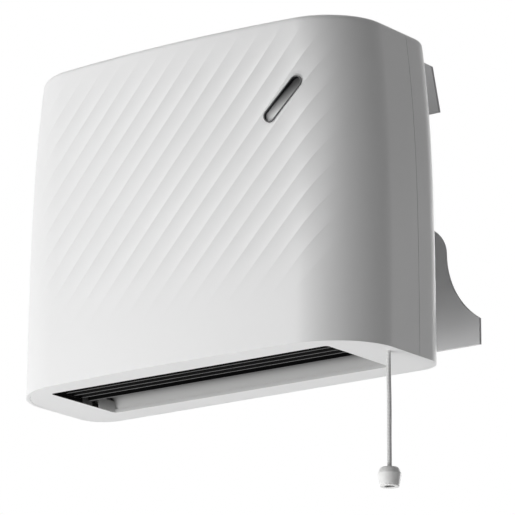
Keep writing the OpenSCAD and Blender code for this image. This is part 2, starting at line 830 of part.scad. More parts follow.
// Cover of the duct's end, without its holes
module end_plate_outline() {
    polygon(concat(
        scroll_path(plate_rim),
        [[scroll_y - plate_rim, louvre_top], [tongue_y + plate_rim, louvre_top],
         [tongue_y + plate_rim, fan_z - sheet_r * sin(tongue_start(0))]]));
    translate([fan_y, fan_z])
        circle(r = sheet_r + plate_round);
}
bush_outer_d = shaft_d + 4;
bush_l = 6;
grommet_hole_d = bush_outer_d + 6;
shaft_room = 4;                     // room round the shaft in the right end plate
motor_screw_y = 19;
motor_screw_d = 3;
motor_hole_d = motor_screw_d + 2 * fit_gap;
module fan_end_plate_left() {
    color("silver")
        placed()
            translate([duct_x - sheet_t, 0, 0])
                extrude_x(sheet_t)
                    difference() {
                        end_plate_outline();
                        translate([fan_y, fan_z])
                            circle(d = grommet_hole_d);
                    }
}
module fan_end_plate_right() {
    color("silver")
        placed()
            translate([duct_end_x, 0, 0])
                extrude_x(sheet_t)
                    difference() {
                        end_plate_outline();
                        translate([fan_y, fan_z])
                            circle(d = shaft_d + 2 * shaft_room);
                        for (s = [-1, 1])
                            translate([fan_y + s * motor_screw_y, fan_z])
                                circle(d = motor_hole_d);
                    }
}
// Places what turns with the fan: Z along the fan's axis, from its left end
module on_fan_axis(x) {
    translate([x, fan_y, fan_z])
        rotate([0, 90, 0])
            children();
}
blade_w = 9;
blade_curve = 12;                   // radius of a blade's own curve
blade_steps = 4;
blade_inset = 0.6;                  // blades end this far inside the discs' edge
disc_t = 2;
ring_t = 1.5;
ring_in = 2;                        // how far a ring reaches inside the blades
hub_d = shaft_d + 10;
hub_l = 12;
shaft_seat_d = shaft_d + 2 * press_gap;
// A forward-curved blade: a thin arc from the inner to the outer radius
module blade_profile() {
    half = asin(blade_w / 2 / blade_curve);
    mid = [fan_r - blade_w / 2 - blade_inset, -blade_curve * cos(half)];
    polygon(concat(
        [for (i = [0:blade_steps])
            let (a = 90 - half + 2 * half * i / blade_steps)
            mid + (blade_curve + blade_t / 2) * [cos(a), sin(a)]],
        [for (i = [blade_steps:-1:0])
            let (a = 90 - half + 2 * half * i / blade_steps)
            mid + (blade_curve - blade_t / 2) * [cos(a), sin(a)]]));
}
// A round plate with a hole through its middle
module washer(outer, hole, t) {
    difference() {
        cylinder(d = outer, h = t);
        translate([0, 0, -over])
            cylinder(d = hole, h = t + 2 * over);
    }
}
module fan_impeller() {
    color("#b9bdc0")
        placed()
            on_fan_axis(fan_x) {
                for (i = [0:fan_blades - 1])
                    rotate(360 * i / fan_blades)
                        linear_extrude(fan_l)
                            blade_profile();
                for (t = [1 / 3, 2 / 3])
                    translate([0, 0, fan_l * t])
                        washer(fan_d, fan_d - 2 * (blade_w + ring_in), ring_t);
                for (z = [0, fan_l - disc_t])
                    translate([0, 0, z])
                        washer(fan_d, shaft_seat_d, disc_t);
                for (z = [disc_t, fan_l - disc_t - hub_l])
                    translate([0, 0, z])
                        washer(hub_d, shaft_seat_d, hub_l);
            }
}

// ---- Motor, on the right end plate ----
pillar_l = 7;
pillar_d = 7;
strap_h = 16;
bracket_t = 4;
bush_proud = 1;                     // how far a bush stands out of its bracket
stack_x = duct_end_x + sheet_t + pillar_l + bracket_t;
stack_end_x = stack_x + stack_l;
rotor_gap = 0.4;
stack_half_w = 24;
stack_low = 22;
stack_high = 48;
coil_window_w = 24;
coil_window_low = 18;
coil_window_high = 36;
coil_wall = 14;                     // thickness of the winding above and below its leg
coil_side = 5.5;                    // thickness of the winding on the faces of the stack
coil_gap = 0.5;                     // gap between the winding and the sides of its window
rotor_inset = 1;                    // the rotor is this much shorter at each end than the stack
shaft_end = 3;                      // the shaft stands out of the rear bracket by this much
journal_out = 9;                    // the journal stands out of the duct by this much
module fan_shaft() {
    start = fan_end_x - disc_t - hub_l;
    color("silver")
        placed()
            on_fan_axis(start)
                cylinder(d = shaft_d, h = stack_end_x + bracket_t + shaft_end - start);
}
module fan_journal() {
    color("silver")
        placed()
            on_fan_axis(duct_x - journal_out)
                cylinder(d = shaft_d, h = fan_x + disc_t + hub_l - duct_x + journal_out);
}
module bush(l) {
    washer(bush_outer_d, shaft_d + 2 * running_gap, l);
}
module journal_bush() {
    color("goldenrod")
        placed()
            on_fan_axis(duct_x - (sheet_t + bush_l) / 2)
                bush(bush_l);
}
module journal_grommet() {
    color("#303030")
        placed()
            on_fan_axis(duct_x - sheet_t - lip_t)
                grommet(grommet_hole_d, bush_outer_d + 2 * running_gap, sheet_t);
}
module motor_stack() {
    color("#6f7275")
        placed()
            translate([stack_x, 0, 0])
                extrude_x(stack_l)
                    translate([fan_y, fan_z])
                        difference() {
                            translate([-stack_half_w, -stack_low])
                                square([2 * stack_half_w, stack_low + stack_high]);
                            circle(d = rotor_d + 2 * rotor_gap);
                            translate([-coil_window_w / 2, coil_window_low])
                                square([coil_window_w, coil_window_high - coil_window_low]);
                            for (s = [-1, 1])
                                translate([s * motor_screw_y, 0])
                                    circle(d = motor_hole_d);
                        }
}
module motor_coil() {
    leg = stack_high - coil_window_high;
    color("#8c4a24")
        placed()
            translate([stack_x, fan_y - coil_window_w / 2 + coil_gap, fan_z + coil_window_high])
                difference() {
                    translate([-coil_side, 0, -coil_wall])
                        cube([stack_l + 2 * coil_side, coil_window_w - 2 * coil_gap, leg + 2 * coil_wall]);
                    translate([-fit_gap, -over, -fit_gap])
                        cube([stack_l + 2 * fit_gap, coil_window_w + 2 * over, leg + 2 * fit_gap]);
                }
}
module motor_rotor() {
    color("#9a9da0")
        placed()
            on_fan_axis(stack_x + rotor_inset)
                washer(rotor_d, shaft_seat_d, stack_l - 2 * rotor_inset);
}
// A strap across the face of the stack, with a seat for its bush
module motor_strap(pillars) {
    difference() {
        union() {
            translate([0, fan_y - stack_half_w, fan_z - strap_h / 2])
                cube([bracket_t, 2 * stack_half_w, strap_h]);
            if (pillars)
                for (s = [-1, 1])
                    translate([-pillar_l, fan_y + s * motor_screw_y, fan_z])
                        along_x(pillar_d, pillar_l + bracket_t / 2);
        }
        translate([-over, fan_y, fan_z])
            along_x(bush_outer_d + 2 * press_gap, bracket_t + 2 * over);
        for (s = [-1, 1])
            translate([-pillar_l - over, fan_y + s * motor_screw_y, fan_z])
                along_x(motor_hole_d, pillar_l + bracket_t + 2 * over);
    }
}
module motor_bracket_front() {
    color("#a8abad")
        placed()
            translate([stack_x - bracket_t, 0, 0])
                motor_strap(true);
}
module motor_bracket_rear() {
    color("#a8abad")
        placed()
            translate([stack_end_x, 0, 0])
                motor_strap(false);
}
module motor_bushes() {
    color("goldenrod")
        placed() {
            on_fan_axis(stack_x - bracket_t - bush_proud)
                bush(bracket_t + bush_proud);
            on_fan_axis(stack_end_x)
                bush(bracket_t + bush_proud);
        }
}
module motor_screws() {
    tip = duct_end_x - sheet_t;
    color("silver")
        placed()
            for (s = [-1, 1])
                on_fan_axis(tip)
                    translate([0, s * motor_screw_y, 0]) {
                        cylinder(d = motor_screw_d, h = stack_end_x + bracket_t - tip);
                        translate([0, 0, stack_end_x + bracket_t - tip])
                            cylinder(d = head_d, h = head_l);
                    }
}

// ---- Heating element in the duct ----
duct_in_y = scroll_y + sheet_t / 2;
duct_out_y = tongue_y - sheet_t / 2;
element_y = duct_in_y + fit_gap;
element_d = duct_out_y - duct_in_y - 2 * fit_gap;
board_mica = 0.8;
end_mica = 1.5;
lane_d = (element_d - board_mica) / ribbon_count;
ribbon_t = 0.4;
ribbon_h = 12;
ribbon_end = 6;
module element_frame() {
    color("#cfc9b4")
        placed() {
            for (i = [0:ribbon_count])
                translate([duct_x + fit_gap, element_y + i * lane_d, element_z])
                    cube([duct_l - 2 * fit_gap, board_mica, element_h]);
            for (x = [duct_x + fit_gap, duct_end_x - fit_gap - end_mica])
                translate([x, element_y, element_z])
                    cube([end_mica, element_d, element_h]);
        }
}
module element_ribbons() {
    length = duct_l - 2 * ribbon_end;
    reach = lane_d - board_mica - 2 * clear - ribbon_t;
    step = length / ribbon_folds;
    color("#77716b")
        placed()
            for (i = [0:ribbon_count - 1])
                translate([duct_x + ribbon_end, element_y + i * lane_d + board_mica + clear,
                           element_z + (element_h - ribbon_h) / 2])
                    linear_extrude(ribbon_h)
                        polygon(concat(
                            [for (k = [0:ribbon_folds]) [k * step, k % 2 * reach]],
                            [for (k = [ribbon_folds:-1:0]) [k * step, k % 2 * reach + ribbon_t]]));
}
cutout_x = 30;
cutout_z = element_z + element_h / 2;
cutout_d = 15;
cutout_flange_t = 2;
cutout_body_d = 12;
cutout_body_l = 6;
tab_x = 3;                          // flat contacts, this far from the middle
tab_l = 7;
tab_w = 6;
tab_t = 0.8;
fuse_x = -30;
fuse_d = 4;
fuse_l = 14;
lead_d = 1;
lead_l = 8;
lead_in = 0.5;                      // how far a lead runs into what it comes out of
module thermal_cutout() {
    color("#e4dccb")
        placed()
            translate([cutout_x, tongue_y + sheet_t / 2, cutout_z]) {
                along_y(cutout_d, cutout_flange_t);
                translate([0, cutout_flange_t, 0])
                    along_y(cutout_body_d, cutout_body_l);
                for (s = [-1, 1])
                    translate([s * tab_x - tab_t / 2, cutout_flange_t + cutout_body_l, -tab_w / 2])
                        cube([tab_t, tab_l, tab_w]);
            }
}
module thermal_fuse() {
    color("#d9d4c8")
        placed()
            translate([fuse_x, tongue_y + sheet_t / 2 + fuse_d / 2, cutout_z]) {
                along_x(fuse_d, fuse_l);
                for (x = [-lead_l, fuse_l - lead_in])
                    translate([x, 0, 0])
                        along_x(lead_d, lead_l + lead_in);
            }
}

// ---- Mains connection on the rear cover ----
block_x = 14;
block_w = 36;
block_d = 13;
block_h = 18;
poles = 3;
pole_w = block_w / poles;
wire_hole_d = 4;
clamp_screw_d = 4;
clamp_screw_l = 4;
clamp_screw_z = 5;                  // clamping screws lie this far above and below the middle
well_l = 5;
well_sink = 0.6;
barrier_w = 1.2;                    // groove between two poles
slot_w = 0.8;                       // slot in a clamping screw
slot_t = 1;
module terminal_block() {
    color("#efefef")
        placed()
            difference() {
                translate([block_x, rear_in_y - block_d, cable_z - block_h / 2])
                    cube([block_w, block_d, block_h]);
                for (i = [0:poles - 1])
                    translate([block_x + (i + 0.5) * pole_w, rear_in_y - block_d / 2, 0]) {
                        translate([0, 0, cable_z - block_h / 2 - over])
                            cylinder(d = wire_hole_d, h = block_h + 2 * over);
                        for (s = [-1, 1])
                            translate([0, -block_d / 2 - over, cable_z + s * clamp_screw_z])
                                along_y(clamp_screw_d + 2 * fit_gap, well_l + over);
                    }
                for (i = [1:poles - 1])
                    translate([block_x + i * pole_w - barrier_w / 2, rear_in_y - block_d - over,
                               cable_z - block_h])
                        cube([barrier_w, well_l + over, 2 * block_h]);
            }
}
module terminal_screws() {
    color("goldenrod")
        placed()
            for (i = [0:poles - 1], s = [-1, 1])
                translate([block_x + (i + 0.5) * pole_w, rear_in_y - block_d + well_sink,
                           cable_z + s * clamp_screw_z])
                    difference() {
                        along_y(clamp_screw_d, clamp_screw_l);
                        translate([-0.4 * clamp_screw_d, -over, -slot_w / 2])
                            cube([0.8 * clamp_screw_d, slot_t + over, slot_w]);
                    }
}
clamp_w = 9;
clamp_d = 9;
clamp_h = 26;
clamp_arch_d = 10;
clamp_x = block_x - clamp_w - 7;
module cable_clamp() {
    color("#efefef")
        placed()
            difference() {
                translate([clamp_x, rear_in_y - clamp_d, cable_z - clamp_h / 2])
                    cube([clamp_w, clamp_d, clamp_h]);
                translate([clamp_x - over, rear_in_y, cable_z])
                    along_x(clamp_arch_d, clamp_w + 2 * over);
            }
}

// ---- Pull switch ----
case_t = 2;
case_gap = 3;                       // gap between the louvre's frame and the switch
case_x = outlet_w / 2 + frame_t + case_gap;
case_end_x = cord_x + 5.1;
cavity_end_x = case_end_x - 1.5;
case_y = cord_line_y - 7.5;
case_d = 16.5;
case_z = base_t + 5;                // the housing stands on two feet on the base panel
case_foot_t = 2.6;
case_h = 48;
cover_t = 1.5;
shelf_z = case_z + 4;               // the spring stands here
cord_room = 0.5;
spring_l = 18;
spring_d = 6.2;
wire_d = 0.6;
spring_turns = 6;
flange_r = 3.3;
flange_h = 2;
neck_r = 2.3;
neck_h = 2.8;
shoulder_l = 3;                     // upper flange of the plunger
cord_seat = 0.1;
plunger_z = shelf_z + spring_l;
neck_mid_z = plunger_z + flange_h + neck_h / 2;
knot_z = plunger_z + flange_h + neck_h + shoulder_l;
knot_h = 5.2;
top_knot_d = 6.2;
acorn_knot_d = 6.4;
pin_d = 3;
pin_gap = 0.1;
pin_wall = 0.5;                     // wall behind the pin's seat
lever_hub_d = 6.4;
hub_room = 0.2;
prong_t = 1.5;
prong_h = 3;
prong_in = 4.5;                     // inner face of a prong, from the cord's line
tip_d = 2;
tip_l = prong_in - neck_r - fit_gap;
tip_root = 0.5;
// The lever swings as far above its pin's level as below it, so its length follows
lever_x = case_x + case_t + lever_hub_d / 2 + hub_room;
lever_reach = cord_x - lever_x;
lever_l = lever_reach + pow(cord_travel, 2) / (16 * lever_reach);
lever_swing = asin(cord_travel / 2 / lever_l);
lever_z = neck_mid_z - cord_travel / 2;
module switch_housing() {
    color("#f2f2f0")
        placed() {
            difference() {
                translate([case_x, case_y, case_z])
                    cube([case_end_x - case_x, case_d, case_h]);
                translate([case_x + case_t, case_y - over, shelf_z])
                    cube([cavity_end_x - case_x - case_t, case_d - case_t + over,
                          case_z + case_h - case_t - shelf_z]);
                translate([cord_x, cord_line_y, case_z - over])
                    cylinder(d = cord_d + 2 * cord_room, h = shelf_z - case_z + 2 * over);
                translate([lever_x, case_y + case_d - case_t - over, lever_z])
                    along_y(pin_d + 2 * press_gap, case_t + over - pin_wall);
            }
            for (y = [case_y, case_y + case_d - case_foot_t])
                translate([case_x, y, base_t])
                    cube([case_end_x - case_x, case_foot_t, case_z - base_t]);
        }
}
module switch_cover() {
    color("#f2f2f0")
        placed()
            translate([case_x, case_y - cover_t, case_z])
                cube([case_end_x - case_x, cover_t, case_h]);
}
module lever_pin() {
    color("silver")
        placed()
            translate([lever_x, case_y + pin_gap, lever_z])
                along_y(pin_d, case_d - pin_wall - 2 * pin_gap);
}
module switch_lever() {
    width = 2 * (prong_in + prong_t);
    color("#c9c9c4")
        placed()
            translate([lever_x, cord_line_y, lever_z])
                rotate([0, -lever_swing, 0])
                    difference() {
                        union() {
                            translate([0, -width / 2, 0])
                                along_y(lever_hub_d, width);
                            for (s = [-1, 1])
                                translate([0, s * (prong_in + prong_t / 2), 0])
                                    lever_prong(s);
                        }
                        translate([0, -width / 2 - over, 0])
                            along_y(pin_d + 2 * running_gap, width + 2 * over);
                    }
}
module lever_prong(s) {
    translate([0, -prong_t / 2, -prong_h / 2])
        cube([lever_l, prong_t, prong_h]);
    translate([lever_l, -prong_t / 2, 0])
        along_y(prong_h, prong_t);
    translate([lever_l, s > 0 ? -prong_t / 2 - tip_l : prong_t / 2 - tip_root, 0])
        along_y(tip_d, tip_l + tip_root);
}
module cord_plunger() {
    color("#c9c9c4")
        placed()
            translate([cord_x, cord_line_y, plunger_z])
                rotate_extrude()
                    polygon([
                        [cord_d / 2 + cord_seat, 0], [flange_r, 0], [flange_r, flange_h],
                        [neck_r, flange_h], [neck_r, flange_h + neck_h],
                        [flange_r, flange_h + neck_h], [flange_r, knot_z - plunger_z],
                        [cord_d / 2 + cord_seat, knot_z - plunger_z]]);
}
// A tube swept along points, with its ends closed. Rings stay level across the way.
function unit(v) = v / norm(v);
function way(p, i) = unit(p[min(i + 1, len(p) - 1)] - p[max(i - 1, 0)]);
module tube(path, d, sides, side_ref) {
    n = len(path);
    rings = [for (i = [0:n - 1])
        let (w = way(path, i), u = unit(cross(w, side_ref)), v = cross(w, u))
        each [for (k = [0:sides - 1])
            let (a = 360 * k / sides) path[i] + d / 2 * (cos(a) * u + sin(a) * v)]];
    polyhedron(
        points = rings,
        faces = concat(
            [for (i = [0:n - 2]) for (k = [0:sides - 1])
                let (a = i * sides + k, b = i * sides + (k + 1) % sides)
                each [[a, b, b + sides], [a, b + sides, a + sides]]],
            [[for (k = [sides - 1:-1:0]) k]],
            [[for (k = [0:sides - 1]) (n - 1) * sides + k]]),
        convexity = 10);
}
spring_steps = 12;
module switch_spring() {
    rise = spring_l - wire_d - 2 * press_gap;
    steps = spring_turns * spring_steps;
    color("silver")
        placed()
            translate([cord_x, cord_line_y, shelf_z + wire_d / 2 + press_gap])
                tube([for (i = [0:steps])
                    let (a = 360 * i / spring_steps, r = (spring_d - wire_d) / 2)
                    [r * cos(a), r * sin(a), rise * i / steps]], wire_d, 5, [0, 0, 1]);
}
bush_flange_t = 1.2;
bush_flange_w = 1;
cord_play = 0.3;
module cord_bush() {
    color("#e9e9e6")
        placed()
            translate([cord_x, cord_line_y, 0])
                difference() {
                    union() {
                        cylinder(d = bush_d, h = base_t + bush_flange_t);
                        translate([0, 0, base_t])
                            cylinder(d = bush_d + 2 * bush_flange_w, h = bush_flange_t);
                    }
                    translate([0, 0, -over])
                        cylinder(d = cord_d + 2 * cord_play, h = base_t + bush_flange_t + 2 * over);
                }
}
module inner_cord() {
    color("#ececea")
        placed()
            translate([cord_x, cord_line_y, 0])
                cylinder(d = cord_d, h = knot_z);
}
// A knot: a ball that is cut flat above and below
module knot(d) {
    intersection() {
        sphere(d = d);
        cube([d, d, knot_h], center = true);
    }
}
module top_knot() {
    color("#ececea")
        placed()
            translate([cord_x, cord_line_y, knot_z + knot_h / 2])
                knot(top_knot_d);
}

// ---- Free cord, drawn from where it leaves the base ----
cord_route = [
    [0, 0, 0], [0, 0, -5.4], [0, 0, -10.8], [0, 0, -16.2], [0, 0.1, -21.6], [0.1, 0.1, -27],
    [0.1, 0.2, -32.4], [0.1, 0.2, -37.8], [0.1, 0.2, -43.2], [0.1, 0.1, -48.6], [0, 0.1, -54],
    [0, 0, -59.4], [0, 0, -64.8], [0, 0, -70.2], [0, 0, -75.6], [0, 0, -81]];
acorn_z = cord_route[len(cord_route) - 1][2];
recess_d = 7.2;                     // hollow in the acorn that hides its knot
recess_h = 6.4;
acorn_bore_r = cord_d / 2 + 0.2;
acorn_neck = 0.71;                  // radii of the acorn, as shares of its widest
acorn_rim = 0.83;
acorn_widest = 0.26;                // how far down it is widest, as a share of its height
shoulder_from = 30;                 // slope of its shoulder at the top edge and where it is widest
shoulder_to = 70;
module pull_cord() {
    color("#ececea")
        placed()
            translate([cord_x, cord_line_y, 0])
                tube(cord_route, cord_d, 8, [1, 0, 0]);
}
// Outline of the acorn from its top edge, over its shoulder and down to its lower rim
function acorn_side() =
    let (r = acorn_d / 2, top = acorn_widest * acorn_h,
         wide = sin(shoulder_to) - sin(shoulder_from), tall = cos(shoulder_from) - cos(shoulder_to))
    concat(
        [for (a = [shoulder_from:10:shoulder_to])
            [r * (acorn_neck + (1 - acorn_neck) * (sin(a) - sin(shoulder_from)) / wide),
             -top * (cos(shoulder_from) - cos(a)) / tall]],
        [[r * acorn_rim, -acorn_h]]);
module cord_acorn() {
    color("#f4f4f2")
        placed()
            translate([cord_x, cord_line_y, acorn_z])
                rotate_extrude()
                    polygon(concat(
                        [[acorn_bore_r, 0]], acorn_side(),
                        [[recess_d / 2, -acorn_h], [recess_d / 2, recess_h - acorn_h],
                         [acorn_bore_r, recess_h - acorn_h]]));
}
module acorn_knot() {
    ceiling = recess_h - acorn_h;
    color("#ececea")
        placed()
            translate([cord_x, cord_line_y, acorn_z]) {
                translate([0, 0, ceiling - knot_h / 2])
                    cylinder(d = cord_d, h = knot_h / 2 - ceiling);
                translate([0, 0, ceiling - knot_h / 2])
                    knot(acorn_knot_d);
            }
}

front_cover();
rear_cover();
base_panel();
outlet_louvre();
air_deflector();
window_bezel();
window_lens();
indicator_board();
indicator_lamps();
wall_plate();
cover_screws();
locking_screws();
cable_grommet();
fan_scroll();
fan_tongue();
fan_end_plate_left();
fan_end_plate_right();
fan_impeller();
fan_shaft();
fan_journal();
journal_bush();
journal_grommet();
motor_stack();
motor_coil();
motor_rotor();
motor_bracket_front();
motor_bracket_rear();
motor_bushes();
motor_screws();
element_frame();
element_ribbons();
thermal_cutout();
thermal_fuse();
terminal_block();
terminal_screws();
cable_clamp();
switch_housing();
switch_cover();
switch_lever();
lever_pin();
cord_plunger();
switch_spring();
cord_bush();
inner_cord();
top_knot();
pull_cord();
cord_acorn();
acorn_knot();
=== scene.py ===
"""Bathroom wall fan heater with a pull cord: looks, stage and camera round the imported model.

Metres. The wall is the plane y = 0, the front faces -Y and +Z is up. The origin is on the wall, in the
middle of the four fixing holes. Run as a script: it registers its operators and calls them in order.
"""

import math
from contextlib import contextmanager

import bmesh
import bpy
import numpy as np
from bpy.props import FloatProperty, FloatVectorProperty, IntProperty, PointerProperty
from bpy.types import Operator, Panel, PropertyGroup
from mathutils import Matrix, Vector


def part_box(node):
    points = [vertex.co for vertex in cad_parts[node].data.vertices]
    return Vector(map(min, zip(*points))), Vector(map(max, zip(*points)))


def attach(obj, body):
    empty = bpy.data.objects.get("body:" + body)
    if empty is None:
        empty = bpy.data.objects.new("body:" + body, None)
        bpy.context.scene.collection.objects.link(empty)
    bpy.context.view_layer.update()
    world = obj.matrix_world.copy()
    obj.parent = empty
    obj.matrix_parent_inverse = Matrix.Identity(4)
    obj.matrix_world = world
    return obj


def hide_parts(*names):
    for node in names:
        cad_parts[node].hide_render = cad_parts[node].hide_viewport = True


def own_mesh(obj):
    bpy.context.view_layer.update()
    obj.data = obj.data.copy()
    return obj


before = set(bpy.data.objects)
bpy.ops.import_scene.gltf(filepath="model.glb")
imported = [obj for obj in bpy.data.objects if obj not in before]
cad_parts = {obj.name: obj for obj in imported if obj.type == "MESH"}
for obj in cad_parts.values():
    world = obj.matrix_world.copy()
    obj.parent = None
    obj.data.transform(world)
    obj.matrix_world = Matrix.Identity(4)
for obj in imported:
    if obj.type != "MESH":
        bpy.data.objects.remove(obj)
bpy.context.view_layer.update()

bl_info = {
    "name": "Wall Fan Heater",
    "version": (1, 0, 0),
    "blender": (4, 5, 0),
    "location": "3D Viewport > Sidebar > Fan Heater",
    "description": "Builds the casing, outlet, window, cord and finishes of a wall fan heater",
    "category": "Add Mesh",
}

BASE_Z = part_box("front_cover")[0].z  # underside of the casing
TAU = 2 * math.pi


def length(name, description, default):
    """A distance in metres."""
    return FloatProperty(name=name, description=description, default=default, min=0, unit="LENGTH", precision=4)


def turn(name, description, degrees):
    """An angle, given in degrees."""
    return FloatProperty(name=name, description=description, default=math.radians(degrees), subtype="ANGLE")


def number(name, description, default, least=0):
    """A plain number."""
    return FloatProperty(name=name, description=description, default=default, min=least)


def colour(name, description, default):
    """A colour without alpha."""
    return FloatVectorProperty(name=name, description=description, default=default, size=3, min=0, max=1,
                               subtype="COLOR")


# ---- Sizes and colours a user would change ----


class CasingSettings(PropertyGroup):
    """Form of the casing"""

    width: length("Width", "Width of the casing at its base", 0.310)
    height: length("Height", "Height of the casing", 0.236)
    depth: length("Depth", "Depth of the casing at its base, in the middle", 0.120)
    wall: length("Wall", "Thickness of the moulded walls", 0.0025)
    stand_off: length("Stand-off", "Distance of the casing's back from the wall", 0.043)
    front_corner: length("Front Corner Radius", "Radius of the two front corners", 0.0475)
    corner_shrink: length("Corner Shrink", "How much smaller that radius is at the top", 0.0044)
    rear_corner: length("Rear Corner Radius", "Radius of the two rear corners", 0.0207)
    side_taper: length("Side Taper", "How far each side leans in at the top", 0.0094)
    taper_power: number("Taper Power", "How late the taper begins", 3.5, 1)
    front_lean: length("Front Lean", "How far the front leans back at the top", 0.0042)
    bow_base: length("Bow at Base", "How far the front is bowed at its base", 0.0086)
    bow_top: length("Bow at Top", "How far the front is bowed at its top", 0.012)
    top_edge: length("Top Edge Radius", "Radius of the edge round the top", 0.004)
    seam: length("Seam Depth", "Distance of the cover joint from the back", 0.035)
    seam_gap: length("Seam Gap", "Width of the joint", 0.0004)


class RibSettings(PropertyGroup):
    """Diagonal ribs of the front"""

    pitch: length("Pitch", "Distance between two ribs, measured across the front", 0.0179)
    depth: length("Depth", "Depth of the hollow between two ribs", 0.0009)
    slope: turn("Slope", "Steepness of the ribs", 48.5)
    shift: length("Shift", "How far the ribs are shifted along the front", 0.0013)
    bottom: length("Bottom", "Height at which the ribs have faded out", 0.028)
    fade: length("Fade", "Height over which the ribs fade at the bottom", 0.060)
    top_fade: length("Top Fade", "Height over which they fade at the top", 0.040)


class WindowSettings(PropertyGroup):
    """Indicator window"""

    side: length("From Side", "Distance of the window's middle from the side", 0.0601)
    drop: length("From Top", "Distance of the window's middle below the top", 0.0594)
    span: length("Length", "Length of the window", 0.039)
    width: length("Width", "Width of the window", 0.0097)
    slope: turn("Slope", "Slope of the window", 45.6)


class RearSettings(PropertyGroup):
    """Slots and holes of the rear cover"""

    slot_rows: IntProperty(name="Slot Rows", description="Intake slots one above the other", default=11, min=1)
    slot_pitch: length("Slot Pitch", "Distance from one slot to the next", 0.0088)
    slot_height: length("Slot Height", "Height of an intake slot", 0.004)
    slot_length: length("Slot Length", "Length of an intake slot", 0.100)
    slot_strip: length("Middle Strip", "Solid strip between the two columns of slots", 0.012)
    slot_low: length("Lowest Slot", "Height of the lowest slot above the base", 0.076)


class CordSettings(PropertyGroup):
    """Pull cord and acorn"""

    diameter: length("Cord Diameter", "Diameter of the pull cord", 0.0032)
    side: length("From Side", "Distance of the cord from the side of the casing", 0.009)
    front: length("From Front", "Distance of the cord from the front of the casing", 0.060)
    acorn_width: length("Acorn Diameter", "Diameter of the acorn", 0.016)
    acorn_height: length("Acorn Height", "Height of the acorn", 0.0134)
    strands: IntProperty(name="Strands", description="Strands that run each way round the braid", default=6, min=3)
    lay: length("Lay", "Length of one turn of a strand", 0.012)


class FinishSettings(PropertyGroup):
    """Colours of the finishes"""

    casing: colour("Casing", "Satin white plastic", (0.83, 0.83, 0.83))
    deflector: colour("Deflector", "Pale heat-proof plastic", (0.68, 0.68, 0.675))
    louvre: colour("Louvre", "Black heat-proof plastic", (0.004, 0.004, 0.0042))
    bezel: colour("Bezel", "Dark gloss plastic", (0.02, 0.02, 0.022))
    lens: colour("Lens", "Pale end of the lens, away from its painted shadow", (0.90, 0.90, 0.90))
    plate: colour("Wall Plate", "Grey powder coat", (0.62, 0.62, 0.624))
    cord: colour("Cord", "Braided cord", (0.80, 0.80, 0.79))


class StageSettings(PropertyGroup):
    """Camera and light"""

    azimuth: turn("Azimuth", "Turn of the camera round the heater, from straight ahead", 36.914)
    elevation: turn("Elevation", "Height of the camera's place, as an angle", -15.840)
    distance: length("Distance", "Distance of the camera from the middle of the casing", 2.7489)
    focal: number("Focal Length", "In pixels of a 515 pixel frame", 3860.3, 1)
    fill: number("Fill", "Strength of the light from all round", 0.12)
    floor_glow: number("Floor Glow", "How much paler the floor looks", 0.55)


GROUPS = {
    "heater_casing": CasingSettings,
    "heater_ribs": RibSettings,
    "heater_window": WindowSettings,
    "heater_rear": RearSettings,
    "heater_cord": CordSettings,
    "heater_finish": FinishSettings,
    "heater_stage": StageSettings,
}


def settings(name):
    """The settings of one group, by its short name."""
    return getattr(bpy.context.scene, "heater_" + name)


# ---- Modelling helpers ----


def select_only(*objects):
    """Leaves just these objects selected, the last of them active."""
    if bpy.context.object and bpy.context.object.mode != "OBJECT":
        bpy.ops.object.mode_set(mode="OBJECT")
    bpy.ops.object.select_all(action="DESELECT")
    for piece in objects:
        piece.select_set(True)
        bpy.context.view_layer.objects.active = piece


def added(name):
    """The primitive that was just added, named."""
    piece = bpy.context.object
    piece.name = piece.data.name = name
    return piece


def place_mesh(piece):
    """Puts the piece's place, turn and size into its mesh."""
    select_only(piece)
    bpy.ops.object.transform_apply(location=True, rotation=True, scale=True)
    return piece


@contextmanager
def editing(piece, action="SELECT"):
    """Opens a piece in edit mode, with all or nothing of it selected."""
    select_only(piece)
    bpy.ops.object.mode_set(mode="EDIT")
    bpy.ops.mesh.select_all(action=action)
    yield
    bpy.ops.object.mode_set(mode="OBJECT")


def modify(piece, kind, **values):
    """Adds a modifier, sets it and applies it."""
    select_only(piece)
    modifier = piece.modifiers.new(kind.title(), kind)
    for key, value in values.items():
        setattr(modifier, key, value)
    bpy.ops.object.modifier_apply(modifier=modifier.name)
    return piece


def round_edges(piece, width, steps=2, limit=50):
    """Rounds the edges that are sharper than an angle."""
    return modify(piece, "BEVEL", width=width, segments=steps, limit_method="ANGLE", angle_limit=math.radians(limit))


def soften(piece, width, steps=2, limit=35):
    """Rounds the sharp edges and shades the rest smooth."""
    round_edges(piece, width, steps, limit)
    smooth(piece, limit)
    return modify(piece, "WEIGHTED_NORMAL", keep_sharp=True)


def smooth(piece, limit=35):
    """Shades smooth, up to an angle between two faces."""
    select_only(piece)
    bpy.ops.object.shade_smooth_by_angle(angle=math.radians(limit))
    return piece


def cut(piece, cutter):
    """Cuts the cutter out of the piece and removes the cutter."""
    modify(piece, "BOOLEAN", operation="DIFFERENCE", object=cutter, solver="EXACT")
    bpy.data.objects.remove(cutter)
    return piece


def recalculate(piece):
    """Turns all faces outwards."""
    with editing(piece):
        bpy.ops.mesh.remove_doubles(threshold=1e-6)
        bpy.ops.mesh.normals_make_consistent(inside=False)
    return piece


def box_at(name, low, high):
    """A box between two corners, in metres."""
    low, high = Vector(low), Vector(high)
    select_only()
    bpy.ops.mesh.primitive_cube_add(size=1, location=(low + high) / 2, scale=high - low)
    return place_mesh(added(name))


